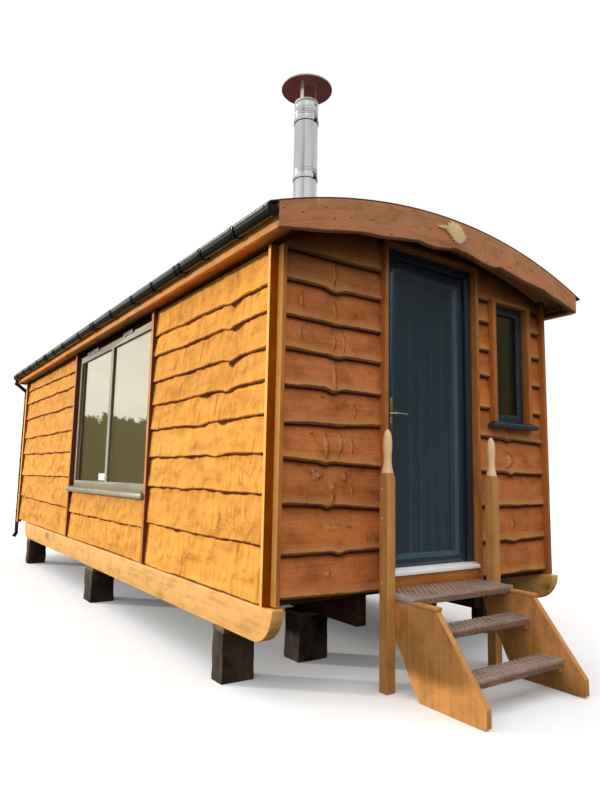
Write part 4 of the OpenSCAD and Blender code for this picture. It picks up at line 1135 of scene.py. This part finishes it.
# Knots in the front boards, counted from the bottom: place, height, half width, half height, swelling
LEFT_KNOTS = {
    0: ((-0.87, 0.67, 0.02, 0.015, 0.002),),
    1: ((-0.80, 0.93, 0.10, 0.01, 0.002),),
    2: ((-0.95, 1.23, 0.030, 0.025, 0.004), (-0.86, 1.08, 0.020, 0.035, 0.007), (-0.76, 1.22, 0.026, 0.022, 0.004),
        (-0.85, 1.16, 0.024, 0.022, 0.005), (-0.70, 1.14, 0.012, 0.03, 0.003)),
    3: ((-0.90, 1.40, 0.019, 0.060, 0.009), (-0.79, 1.42, 0.014, 0.055, 0.007), (-0.70, 1.41, 0.012, 0.04, 0.003)),
    4: ((-0.68, 1.62, 0.01, 0.03, 0.002),),
    5: ((-0.845, 1.80, 0.017, 0.055, 0.006), (-0.845, 1.88, 0.010, 0.04, 0.002)),
    6: ((-0.845, 2.03, 0.012, 0.05, 0.004), (-1.10, 2.05, 0.014, 0.030, 0.003), (-0.77, 2.04, 0.010, 0.06, 0.003)),
    7: ((-0.845, 2.23, 0.014, 0.04, 0.003), (-1.09, 2.25, 0.014, 0.035, 0.003)),
    8: ((-0.845, 2.46, 0.010, 0.07, 0.003),)}
RIGHT_KNOTS = {1: ((0.84, 0.90, 0.02, 0.03, 0.003),), 3: ((0.82, 1.37, 0.03, 0.05, 0.005),),
               4: ((0.80, 1.57, 0.02, 0.03, 0.004),)}
# Dips in their lower edges: place, depth, width
LEFT_DIPS = {1: ((-0.79, 0.012, 0.04),), 2: ((-0.88, 0.014, 0.035),), 3: ((-0.90, 0.012, 0.04),),
             4: ((-0.8, 0.006, 0.06),), 5: ((-0.845, 0.022, 0.05),), 6: ((-0.82, 0.012, 0.05),),
             7: ((-0.83, 0.008, 0.08),), 8: ((-0.845, 0.022, 0.06),)}
RIGHT_DIPS = {1: ((0.84, 0.010, 0.05),), 3: ((0.83, 0.016, 0.03),), 4: ((0.80, 0.012, 0.03),)}


@operator("Front and rear boards")
def build_front_boards(s):
    """Waney boards on the front and rear walls."""
    def ceiling(t):
        return arc(t, CEILING_R) - 0.001
    low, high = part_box("front_window_frame")
    hole = (low.x - 0.012, high.x + 0.012, low.z - 0.02, high.z + 0.016)
    # The boards stop under the door battens and under the corner ones
    left_end, right_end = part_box("door_battens")[0].x + 0.002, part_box("door_battens")[1].x - 0.002
    side = 1.222
    left = courses(-side, left_end, FRONT_LEFT, ceiling, LEFT_DIPS, LEFT_KNOTS)
    over = (left_end + 0.0005, right_end - 0.0005, lambda t: 2.766, ceiling, (), ())
    right = courses(right_end, side, FRONT_RIGHT, ceiling, RIGHT_DIPS, RIGHT_KNOTS, hole)
    rear = courses(-side, side, FRONT_LEFT, ceiling)
    how = dict(material="front boards", ripple=0.0016, pitch=0.075, uneven=s.front_unevenness, band=s.wane_width)
    waney_boards("Front boards", [*left, over], "front", step=0.004, seed=21, rows=15, **how)
    waney_boards("Front boards beside the window", right, "front", step=0.006, seed=8, rows=14, hole=hole, **how)
    waney_boards("Rear boards", rear, "rear", step=0.014, seed=33, **how)


@operator("Side boards")
def build_side_boards(s):
    """Waney boards on the two long walls."""
    def eave(_):
        return EAVE - 0.001
    low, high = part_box("side_window_frame")
    near_end, far_start = low.y - 0.046 - FRONT, high.y + 0.046 - FRONT
    start, whole = 0.006, REAR - FRONT - 0.006
    dips = {k: ((0.46 + 0.02 * (k % 3), 0.020, 0.07), (1.25, 0.008, 0.15)) for k in range(5, 9)}
    dips |= {1: ((0.7, 0.006, 0.2),), 2: ((1.1, 0.010, 0.12),), 3: ((0.62, 0.014, 0.08),), 4: ((0.9, 0.012, 0.1),)}
    knots = {k: ((0.46 + 0.02 * (k % 3), z + 0.09, 0.016, 0.06, 0.006), (0.41, z + 0.10, 0.012, 0.05, 0.004),
                 (0.52, z + 0.08, 0.012, 0.05, 0.004)) for k, (z, _) in enumerate(SIDE_NEAR) if k > 3}
    near = courses(start, near_end, SIDE_NEAR, eave, dips, knots)
    far = courses(far_start, whole, SIDE_FAR, eave)
    below = courses(near_end + 0.001, far_start - 0.001, ((0.523, 0.523), (0.790, 0.790)), lambda t: 1.02)
    right = courses(start, whole, SIDE_NEAR, eave)
    how = dict(material="side boards", ripple=s.ripple_depth, pitch=s.ripple_pitch, uneven=s.side_unevenness,
               band=0.007, wander=0.010, toward=1.0, fade=SHARP_SHADE)
    waney_boards("Left boards near the door", near, "left", step=0.008, seed=14, **how)
    waney_boards("Left boards at the rear", far + below, "left", step=0.011, seed=15, **how)
    waney_boards("Right boards", right, "right", step=0.02, seed=16, **how)


@operator("Battens and trims")
def build_battens(s):
    """Corner battens, door and window trims."""
    corners = dress("corner_battens", "Corner battens", "battens", width=0.0045, axis=2, seed=41)
    coated(corners, "battens", "batten sides", "batten edges", "batten returns")
    # Painted light on the corner battens: the side battens' faces towards the front get a dark finish (painted
    # shade), their outer faces a bright one (painted sun), and the front battens' outer faces a lighter one (painted
    # light)
    for face in corners.data.polygons:
        beside = face.center.x < -HALF - 0.004
        if face.normal.y < -0.7 and beside:
            face.material_index = 1
        elif face.normal.x < -0.4 and face.center.x < -HALF + 0.004:
            face.material_index = 2 if beside else 3
    trims = dress("door_battens", "Door battens", "battens", width=0.0025, seed=42)
    # The grain of the piece under the threshold lies level
    layer = trims.data.uv_layers["grain"]
    low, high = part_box("door_battens")
    sill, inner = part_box("threshold")[0].z, 0.06
    for face in trims.data.polygons:
        if face.center.z < sill and low.x + inner < face.center.x < high.x - inner:
            for loop in face.loop_indices:
                layer.data[loop].uv = layer.data[loop].uv.yx
    trims = dress("window_battens", "Window battens", "battens", width=0.0025, seed=43)
    coated(trims, "battens", "shaded battens")
    # The trims' faces along the left wall get a much darker finish: painted shade
    for face in trims.data.polygons:
        face.material_index = int(abs(face.normal.y) > 0.7 and face.center.x < -HALF)


@operator("Roof")
def build_roof(s):
    """Roof boards and sheet, fascias and soffits."""
    dress("roof_covering", "Roof sheet", "roof", width=0.001, seed=51, smooth=20)
    paint("roof_deck", "ceiling")
    dress("fascias", "Fascias", "fascias", width=0.003, axis=1, seed=52)
    dress("soffits", "Soffits", "soffits", width=0.0015, axis=1, seed=53)


def lower_edge(node, x):
    """Height of a node's lower edge at a place across the front."""
    low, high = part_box(node)
    below = Vector((x, (low.y + high.y) / 2, low.z - 1))
    return frame["nodes"][node].ray_cast(below, Vector((0, 0, 1)))[1].z


@operator("Bargeboards")
def build_bargeboards(s):
    """The two bowed gable boards with their wavy, paler lower edge."""
    for node, name, side in (("front_bargeboard", "Front bargeboard", -1), ("rear_bargeboard", "Rear bargeboard", 1)):
        low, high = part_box(node)
        thick, reach = high.y - low.y, high.x - 0.0005
        back = high.y if side < 0 else low.y
        verts, faces, uv = [], [], []
        layers = {"wane": [], "tint": []}
        # The front one has a joint right of the middle
        for part, (x0, x1) in enumerate(((-reach, 0.296), (0.298, reach)) if side < 0 else ((-reach, reach),)):
            rings = []
            for x in np.linspace(x0, x1, max(8, int((x1 - x0) / 0.008))):
                top = arc(x, ROOF_R)
                foot = lower_edge(node, between(-reach, x, reach)) + 0.0015 * noise.noise((x * 31, side, 2))
                wide, rise = 0.009 + 0.004 * noise.noise((x * 9, side, 7)), top - foot
                loop = [(0, 0, 0), (0, thick * 0.45, 1), (wide * 0.2, thick * 0.78, 1), (wide * 0.6, thick * 0.94, 1),
                        (wide, thick, 0.7), (wide + 0.003, thick, 0)]
                loop += [(wide + (rise - wide) * k / 6 - (0.002 if k == 6 else 0), thick, 0) for k in range(1, 7)]
                loop += [(rise, thick - 0.002, 0), (rise, 0, 0)]
                rings.append(range(len(verts), len(verts) + len(loop)))
                for h, d, wane in loop:
                    lump = 0.0008 * noise.noise((x * 14, (foot + h) * 20, side)) if d == thick and wane == 0 else 0
                    verts.append((x, back + side * (d - max(0.0, lump)), foot + h))
                    uv.append((x + 3.0 * part + 7 * side, foot + h - top + 5.0 * part))
                    layers["wane"].append(wane)
                    layers["tint"].append(0.35 + 0.3 * part)
            faces += strip(rings, True)
        settle(mapped(piece(name, verts, faces, "bargeboards", 40), uv, layers), node)


def trough(r, depth):
    """Outline of a deep round gutter under its rim."""
    return [(r * math.cos(a), -depth * math.sin(a) ** 0.9) for a in np.linspace(0, math.pi, 33)]


def channel(r, depth, thick):
    """Closed outline of a gutter's wall."""
    return trough(r, depth) + trough(r - thick, depth - thick)[::-1]


@operator("Gutters and downpipes")
def build_gutters(s):
    """Deep gutters with rolled lips, unions, stop ends, brackets and downpipes."""
    low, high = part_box("gutters")
    top, depth = high.z, high.z - low.z
    first_box = solids_of("gutters")[0]
    r = (first_box[1].x - first_box[0].x) / 2
    brackets = sorted({round((a.y + b.y) / 2, 4) for a, b in solids_of("gutter_brackets")})
    unions = [(a + b) / 2 for a, b in zip(brackets, brackets[1:]) if b - a < 0.12]
    parts, ends, lips = [], [], []

    def ring(x, y0, y1, grow, thick=0.003):
        outline = [(x + p, top + q) for p, q in channel(r - grow, depth - grow, thick)]
        parts.append(pulled("Ring", outline, y0, y1, "rainwater", smooth=25))
    for side in (-1, 1):
        x, first = side * (high.x - r), low.y + (RIGHT_GUTTER_BACK if side > 0 else 0.0)
        ring(x, first + 0.003, high.y - 0.003, 0.0035, 0.0024)
        # The rolled lips get a pale, part-metal finish: a painted glint of the sky along the black gutter's rims
        for lip in (-1, 1):
            edge = [(x + lip * (r - 0.0045), y, top - 0.0042) for y in (first + 0.002, high.y - 0.002)]
            lips.append(swept("Lip", edge, 0.0042, "gutter lips", sides=16))
        for y, way in ((first, 1), (high.y, -1)):
            outline = [(x + p, top + q) for p, q in trough(r - 0.0006, depth - 0.0006)]
            ends.append(pulled("Stop end", outline, y, y + way * 0.004, "stop ends", width=0.001))
            ring(x, y + way * 0.004, y + way * 0.046, 0.0012)
            ring(x, y + way * 0.040, y + way * 0.048, 0.0)
        for y in unions:
            ring(x, y - 0.050, y + 0.050, 0.0010)
            for end in (-0.052, 0.044):
                ring(x, y + end, y + end + 0.008, 0.0)
    for name, made in (("Gutters", parts), ("Gutter stop ends", ends), ("Gutter lips", lips)):
        settle(joined(name, made), "gutters")
    x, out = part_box("gutter_brackets")[1].x - r - 0.004, r + 0.004
    one = []
    for y0, y1, grow in ((-0.015, -0.010, 0.0), (-0.010, 0.010, 0.0014), (0.010, 0.015, 0.0)):
        outline = [(x + p, top + q) for p, q in channel(out - 0.0002 - grow, depth + 0.0036 - grow, 0.003)]
        one.append(pulled("Band", outline, y0, y1, "rainwater", smooth=25))
    edge = x + out
    for low, high, width in (
            ((edge - 0.010, -0.012, top - 0.010), (edge - 0.001, 0.012, top + 0.004), 0.0015),
            ((EAVE_X, -0.015, top - 0.050), (EAVE_X + 0.001, 0.015, top - 0.001), 0.0003)):
        one.append(block("Clip", low, high, "rainwater", width))
    model = joined("Bracket", one)
    both = [row("Brackets", [(0, y, 0) for y in brackets], model, "rainwater", (0, 0, turn)) for turn in (0, math.pi)]
    bpy.data.objects.remove(model)
    settle(joined("Gutter brackets", both), "gutter_brackets")
    dress("downpipes", "Downpipes", "rainwater", width=0.0, smooth=40)


@operator("Flue")
def build_flue(s):
    """Twin wall flue with swaged joints, locking bands, cowl and collar."""
    low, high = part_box("flue_pipe")
    centre = ((low.x + high.x) / 2, (low.y + high.y) / 2, 0.0)
    r = (high.x - low.x) / 2
    wall, inner = r - 0.0012, r - 0.025
    bands = sorted((a.z + b.z) / 2 for a, b in solids_of("flue_bands"))
    profile = [(inner, low.z), (wall, low.z)]
    # A groove under each band, then three swages over it
    for z in bands:
        profile += [(wall, z - 0.004), (wall - 0.002, z - 0.0035), (wall - 0.002, z + 0.0035), (wall, z + 0.004)]
        for middle in (0.039, 0.053, 0.067):
            profile += [(wall, z + middle - 0.003), (wall + 0.0012, z + middle), (wall, z + middle + 0.003)]
    profile += [(wall, high.z - 0.03), (r + 0.0006, high.z - 0.026), (r + 0.0006, high.z - 0.004), (wall, high.z),
                (inner, high.z)]
    settle(turned("Flue pipe", profile, centre, "flue"), "flue_pipe")
    rings, clips = [], []
    band_low, band_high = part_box("flue_bands")
    out, half, spin = (band_high.y - band_low.y) / 2, 0.013, math.radians(-75)
    for z in bands:
        rings.append(turned("Band", [(r + 0.0016, z - half), (out - 0.0012, z - half), (out, z - half + 0.002),
                                     (out - 0.001, z - 0.006), (out + 0.0001, z), (out - 0.001, z + 0.006),
                                     (out, z + half - 0.002), (out - 0.0012, z + half), (r + 0.0016, z + half)],
                            centre, "flue"))
        for turn in (spin, spin + math.pi):
            clip = block("Clip", (out - 0.001, -0.014, z - 0.012), (out + 0.006, 0.014, z + 0.012), "clips",
                         0.0015)
            clip.data.transform(Matrix.Translation(centre) @ Matrix.Rotation(turn, 4, "Z"))
            clips.append(clip)
    settle(joined("Locking bands", rings), "flue_bands")
    settle(joined("Band clips", clips), "flue_bands")
    cowl = dress("flue_cowl", "Cowl", "cowl", width=0.0006, smooth=25)
    coated(cowl, "cowl", "cowl inside", "cowl stems")
    # The cone's downward faces get a reddish finish: painted reflection of the timber below
    for face in cowl.data.polygons:
        away = (face.center - Vector(centre)).xy.length
        if face.normal.z < -0.3 and away > 0.05:
            face.material_index = 1
        elif abs(face.normal.z) < 0.3 and away < r + 0.01:
            face.material_index = 2
    dress("flue_flashing", "Roof collar", "rainwater", width=0.001, smooth=30)


@operator("Door")
def build_door(s):
    """Door frame, leaf, threshold and hinges."""
    dress("door_frame", "Door frame", "joinery", width=0.0022)
    leaf = dress("door_leaf", "Door leaf", "joinery", width=0.0018, angle=20)
    coated(leaf, "joinery", "lit joinery")
    low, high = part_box("door_leaf")
    # The sunk panel's beads facing left and up get a lighter paint: painted reflection of the sky
    for face in leaf.data.polygons:
        at, way = face.center, face.normal
        inside = low.x + 0.06 < at.x < high.x - 0.06 and low.z + 0.03 < at.z < high.z - 0.08
        face.material_index = int(inside and at.y < (low.y + high.y) / 2 and (way.x < -0.15 or way.z > 0.15))
    dress("threshold", "Threshold", "threshold", width=0.0012)
    dress("door_hinges", "Hinge leaves on the door", "furniture", width=0.0005)
    dress("frame_hinges", "Hinge leaves on the frame", "furniture", width=0.0005)
    gap, room = 0.0035, 0.0004
    strips = ((low.x - gap, low.x - room, low.z, high.z), (high.x + room, high.x + gap, low.z, high.z),
              (low.x - gap, high.x + gap, high.z + room, high.z + gap))
    lines = [block("Seal", (x0, high.y - 0.030, z0), (x1, high.y - 0.018, z1), "gasket", 0.0004)
             for x0, x1, z0, z1 in strips]
    settle(joined("Door seal", lines), slot=SLOT["door_frame"], body="hut")


@operator("Handle")
def build_handle(s):
    """Back plates, lever and cylinders."""
    dress("handle_plates", "Handle plates", "brass", width=0.0012)
    dress("lever_handle", "Lever handle", "furniture", width=0.0, smooth=50)
    profile = [(0, -0.0008), (0.0082, -0.0008), (0.0086, 0.0022), (0.0078, 0.003), (0, 0.003)]
    for low, high in solids_of("handle_plates"):
        face = low.y - 0.0022 if low.y < FRONT + 0.02 else high.y
        drum = turned("Cylinder", profile, ((low.x + high.x) / 2, face, low.z + 0.045), "furniture",
                      segments=32, axis=1)
        settle(drum, slot=SLOT["handle_plates"], body="door")


def on_left(point):
    """Whether a point lies in the left wall."""
    return point.x < -HALF + 0.1


@operator("Windows")
def build_windows(s):
    """Window frames with seals and trickle vents, glass and sills."""
    dress("side_window_frame", "Side window frame", "side frame", width=0.0022)
    dress("front_window_frame", "Front window frame", "joinery", width=0.0022)
    for node, name, side, material, ease in (
            ("window_glass", "Side glass", True, "glass", 0.0),
            ("window_glass", "Front glass", False, "front glass", 0.0),
            ("window_sills", "Side sill", True, "side frame", 0.002),
            ("window_sills", "Front sill", False, "joinery", 0.002)):
        settle(eased(node, name, material, width=ease, keep=lambda p: on_left(p) == side), node)
    # A seal is a flat ring of four strips on each face of a pane, 6 mm in from its edges
    seals, edge, wide, room, thick = [], 0.006, 0.0055, 0.0002, 0.0022
    panes = sorted(solids_of("window_glass"), key=lambda box: not on_left(box[1]))
    for low, high in panes:
        along, across = (1, 0) if on_left(high) else (0, 1)
        a0, a1, z0, z1 = low[along] + edge, high[along] - edge, low.z + edge, high.z - edge
        for d0, d1 in ((low[across] - thick, low[across] - room), (high[across] + room, high[across] + thick)):
            for p, q, u, v in ((a0 - wide, z0 - wide, a1 + wide, z0), (a0 - wide, z1, a1 + wide, z1 + wide),
                               (a0 - wide, z0, a0, z1), (a1, z0, a1 + wide, z1)):
                ends = ((d0, p, q), (d1, u, v)) if along else ((p, d0, q), (u, d1, v))
                seals.append(block("Seal", *ends, "gasket", 0.0005))
    settle(joined("Glazing seals", seals), slot=SLOT["side_window_frame"], body="hut")
    low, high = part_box("side_window_frame")
    # A near-black strip over the frame's head stands for the shade under the eave: painted shade
    shade_strip = block("Window head packer", (low.x - 0.004, low.y + 0.001, high.z - 0.048),
                   (low.x, high.y - 0.001, high.z - 0.001), "head packer", 0.001)
    settle(grain_map(shade_strip, 9), slot=SLOT["window_battens"], body="hut")
    top = high.z - VENT_DROP
    for name, material, out, z0, z1 in (("Trickle vents", "gasket", 0.014, -0.022, 0.006),
                                        ("Vent lips", "white", 0.016, -0.026, -0.022)):
        parts = [block(name, (low.x - out, FRONT + a, top + z0), (low.x, FRONT + b, top + z1), material, 0.0015)
                 for a, b in VENTS]
        settle(joined(name, parts), slot=SLOT["side_window_frame"], body="hut")
    x, y, z = [box[0] for box in panes if on_left(box[1])][-1]
    settle(block("Vent plate on the glass", (x - 0.006, y + 0.006, z + 0.012), (x - 0.0003, y + 0.226, z + 0.078),
                 "white", 0.002), slot=SLOT["side_window_frame"], body="hut")


@operator("Steps")
def build_steps(s):
    """Stringers, treads and their wire netting."""
    dress("stair_stringers", "Stringers", "steps", width=0.003, seed=61, axis=2)
    dress("stair_treads", "Treads", "treads", width=0.003, axis=0, seed=62)
    strands = {"twists": ([], []), "wires": ([], [])}
    twisted = []
    for low, high in solids_of("stair_treads"):
        for key, (points, lines) in netting(low, high, s.net_cell).items():
            verts, edges = strands[key]
            edges += [(a + len(verts), b + len(verts)) for a, b in lines]
            verts += points
        start, length = low.x + 0.02, high.x - low.x - 0.04
        count = int(length / 0.003)
        for strand in (0, 1):
            points = []
            for k in range(count + 1):
                x = start + length * k / count
                a = x * 2 * math.pi / 0.046 + strand * math.pi
                points.append((x, low.y - 0.0040 + 0.0025 * math.cos(a), (low.z + high.z) / 2 + 0.011 * math.sin(a)))
            twisted.append(swept("Edge wire", points, 0.0026, "wires", sides=8))
    for key, name, gauge in (("twists", "Netting twists", 1.8), ("wires", "Netting wires", 1.0)):
        net = grown(from_lines(name, *strands[key], key), wire_tree, Gauge=gauge * s.wire_gauge)
        settle(net, slot=SLOT["stair_treads"], body="hut")
    settle(joined("Twisted edge wires", twisted), slot=SLOT["stair_treads"], body="hut")


def netting(low, high, cell):
    """Hexagon netting wrapped over a tread: top, front and under the nose, as twists and single wires."""
    run, thick, under = high.y - low.y, high.z - low.z, 0.05
    gap, step, margin = 0.0016, 0.66 * cell, 0.006
    width = high.x - low.x - 2 * margin
    count = int(width / cell)
    pitch = width / count
    rows = int((run + thick + under) / step)

    def wrapped(u, v):
        x = low.x + margin + u
        if v < run:
            return (x, high.y - v, high.z + gap)
        if v < run + thick:
            return (x, low.y - gap, high.z - (v - run))
        return (x, low.y + (v - run - thick), low.z - gap)

    def ends(i, j):
        """The two ends of one twist, in the turned-over netting."""
        u = (i + 0.5 * (j % 2)) * pitch
        return (u, (j + 0.3) * step), (u + 0.58 * pitch, (j + 0.3) * step)
    found = {"twists": ([], []), "wires": ([], [])}

    def line(key, p, q):
        """A straight piece of wire, bent where the netting goes over an edge."""
        verts, edges = found[key]
        corners = [run, run + thick]
        cuts = sorted({0.0, 1.0, *((c - p[1]) / (q[1] - p[1]) for c in corners if (p[1] - c) * (q[1] - c) < 0)})
        places = [wrapped(p[0] + (q[0] - p[0]) * t, p[1] + (q[1] - p[1]) * t) for t in cuts]
        edges += [(len(verts) + k, len(verts) + k + 1) for k in range(len(places) - 1)]
        verts += places
    for j in range(rows):
        odd = j % 2
        for i in range(count - odd):
            a, b = ends(i, j)
            if b[0] > count * pitch:
                continue
            line("twists", a, b)
            if j + 1 < rows:
                near, far = (i, i + 1) if odd else (i - 1, i)
                if near >= 0:
                    line("wires", a, ends(near, j + 1)[1])
                if far < count - 1 + odd:
                    line("wires", b, ends(far, j + 1)[0])
    return found


@operator("Newel posts")
def build_newels(s):
    """The two posts with their pale carved grips."""
    obj = eased("newel_posts", "Newel posts", "newels", width=0.0, smooth=40, axis=2, seed=71)
    coated(obj, "newels", "grips")
    low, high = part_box("newel_posts")
    start = high.z - s.grip_length
    bm = opened(obj.data, weld=False)
    bmesh.ops.bisect_plane(bm, geom=[*bm.verts, *bm.edges, *bm.faces], plane_co=(0, 0, start), plane_no=(0, 0, 1))
    closed(bm, obj.data)
    for face in obj.data.polygons:
        face.material_index = int(face.center.z > start)
    settle(obj, "newel_posts")
    profile = [(0, -0.001), (0.005, -0.001), (0.005, 0.0006), (0.003, 0.0016), (0, 0.0016)]
    heads = [turned("Screw", profile, (-low.x, (low.y + high.y) / 2 + 0.010, z), "white", segments=24, axis=0)
             for z in SCREW_HEIGHTS]
    screws = joined("Post screws", heads)
    screws.data.transform(Matrix.Scale(-1, 4, (1, 0, 0)))
    screws.data.flip_normals()
    settle(screws, slot=SLOT["newel_posts"], body="hut")


@operator("Leaf")
def build_ornament(s):
    """Leaf on the front bargeboard."""
    dress("leaf_ornament", "Leaf", "leaf", width=0.0012, angle=40)


# Add-on

def tone(name, where, default):
    """A setting for a colour."""
    return FloatVectorProperty(name=name, description="Colour of " + where, subtype="COLOR", size=3, min=0, max=1,
                               default=default)


def length(name, what, low, high, default):
    """A setting in metres."""
    return FloatProperty(name=name, description=what, unit="LENGTH", min=low, max=high, default=default)


def share(name, what, high, default):
    """A setting from nothing to a greatest value."""
    return FloatProperty(name=name, description=what, min=0, max=high, default=default)


class HutSettings(bpy.types.PropertyGroup):
    """Sizes and colours of the hut's finish."""
    front_tone: tone("Front boards", "the front boards", (0.58, 0.190, 0.050))
    side_tone: tone("Side boards", "the long walls' boards", (0.74, 0.335, 0.060))
    batten_tone: tone("Battens", "the battens and trims", (0.52, 0.185, 0.042))
    batten_side_tone: tone("Batten sides", "the corner battens' sides in painted shade", (0.25, 0.055, 0.002))
    soffit_tone: tone("Soffits", "the soffits' outer edge", (0.46, 0.16, 0.035))
    batten_edge_tone: tone("Batten edges", "the side corner battens' faces in painted sun", (0.86, 0.47, 0.11))
    batten_return_tone: tone("Batten returns", "the front corner battens' returns in painted light", (0.95, 0.46, 0.13))
    shaded_tone: tone("Shaded timber", "the window trims' sides", (0.13, 0.035, 0.012))
    barge_tone: tone("Bargeboards", "the bargeboards", (0.56, 0.23, 0.095))
    fascia_tone: tone("Fascias", "the fascias", (0.74, 0.315, 0.085))
    skid_tone: tone("Skids", "the side skids", (0.78, 0.42, 0.130))
    step_tone: tone("Steps", "the stringers", (0.60, 0.275, 0.080))
    newel_tone: tone("Newels", "the newel posts", (0.56, 0.270, 0.080))
    grip_tone: tone("Grips", "the carved grips", (0.95, 0.66, 0.35))
    wane_tone: tone("Waney edge", "the front boards' rounded edge", (0.28, 0.120, 0.026))
    # The sapwood colour also paints the highlight on the swellings' flanks towards the key light
    sap_tone: tone("Sapwood", "the wood just above the waney edge", (0.66, 0.34, 0.13))
    # The long walls' board edges: their own edge colour, made darker to add to the painted shadow line under each
    # board
    side_wane_tone: tone("Side waney edge", "the long walls' board edges", (0.60, 0.22, 0.045))
    barge_wane_tone: tone("Bargeboard edge", "the bargeboards' lower edge", (0.32, 0.17, 0.07))
    joinery_tone: tone("Joinery", "the door and the front window", (0.023, 0.044, 0.064))
    side_frame_tone: tone("Side frame", "the wide window's frame", (0.23, 0.200, 0.120))
    gutter_tone: tone("Gutters", "the gutters and pipes", (0.006, 0.007, 0.005))
    flue_tone: tone("Flue", "the flue's steel", (0.90, 0.91, 0.93))
    grip_length: length("Grip length", "Length of the pale carved end of a newel post", 0.1, 0.5, 0.262)
    wane_width: length("Waney edge width", "Width of the rounded edge of the front boards", 0.005, 0.04, 0.014)
    ripple_depth: length("Ripple depth", "Depth of the hewn ripples on the long walls", 0, 0.01, 0.0085)
    ripple_pitch: length("Ripple pitch", "Distance between the hewn ripples", 0.02, 0.3, 0.075)
    side_unevenness: length("Side unevenness", "Unevenness of the long walls' boards", 0, 0.02, 0.007)
    front_unevenness: length("Front unevenness", "Unevenness of the front boards", 0, 0.02, 0.005)
    wire_gauge: length("Wire", "Half the thickness of the netting's wire", 0.0003, 0.003, 0.0010)
    net_cell: length("Netting cell", "Width of one cell of the netting", 0.01, 0.08, 0.040)
    key_strength: share("Key light", "Strength of the key light", 10, 3.1)
    surround: share("Surround", "Strength of the light from all round", 2, 0.84)
    floor_glow: share("Floor glow", "Light the camera sees from the floor itself", 1, 0.10)
    floor_tone: share("Floor tone", "Brightness of the floor in light thrown back at the hut", 1, 0.14)
    key_from: FloatVectorProperty(name="Key direction", description="Direction the key light comes from",
                                  subtype="DIRECTION", size=3, default=(-0.72, 0.66, 0.17))
    lens: FloatProperty(name="Lens", description="Focal length", unit="CAMERA", default=27.341)
    camera_place: FloatVectorProperty(name="Camera place", description="Place of the camera", subtype="TRANSLATION",
                                      unit="LENGTH", size=3, default=(-3.0533, -6.0447, 1.2142))
    camera_turn: FloatVectorProperty(name="Camera turn", description="Yaw, pitch and roll in degrees", size=3,
                                     default=(-34.497, 7.266, 1.124))


class HUT_PT_panel(bpy.types.Panel):
    """Lists the hut's building steps and settings."""
    bl_idname = "HUT_PT_panel"
    bl_label = "Timber hut"
    bl_space_type = "VIEW_3D"
    bl_region_type = "UI"
    bl_category = "Hut"

    def draw(self, context):
        for kind in OPERATORS:
            self.layout.operator(kind.bl_idname)
        for key in HutSettings.__annotations__:
            self.layout.prop(context.scene.hut, key)


CLASSES = [HutSettings, *OPERATORS, HUT_PT_panel]


def register():
    for cls in CLASSES:
        bpy.utils.register_class(cls)
    bpy.types.Scene.hut = PointerProperty(type=HutSettings)


def unregister():
    del bpy.types.Scene.hut
    for cls in reversed(CLASSES):
        bpy.utils.unregister_class(cls)


def main():
    """Builds the hut, group by group, and writes its size."""
    register()
    for kind in OPERATORS:
        getattr(bpy.ops.hut, kind.bl_idname.removeprefix("hut."))()


if __name__ == "__main__":
    main()
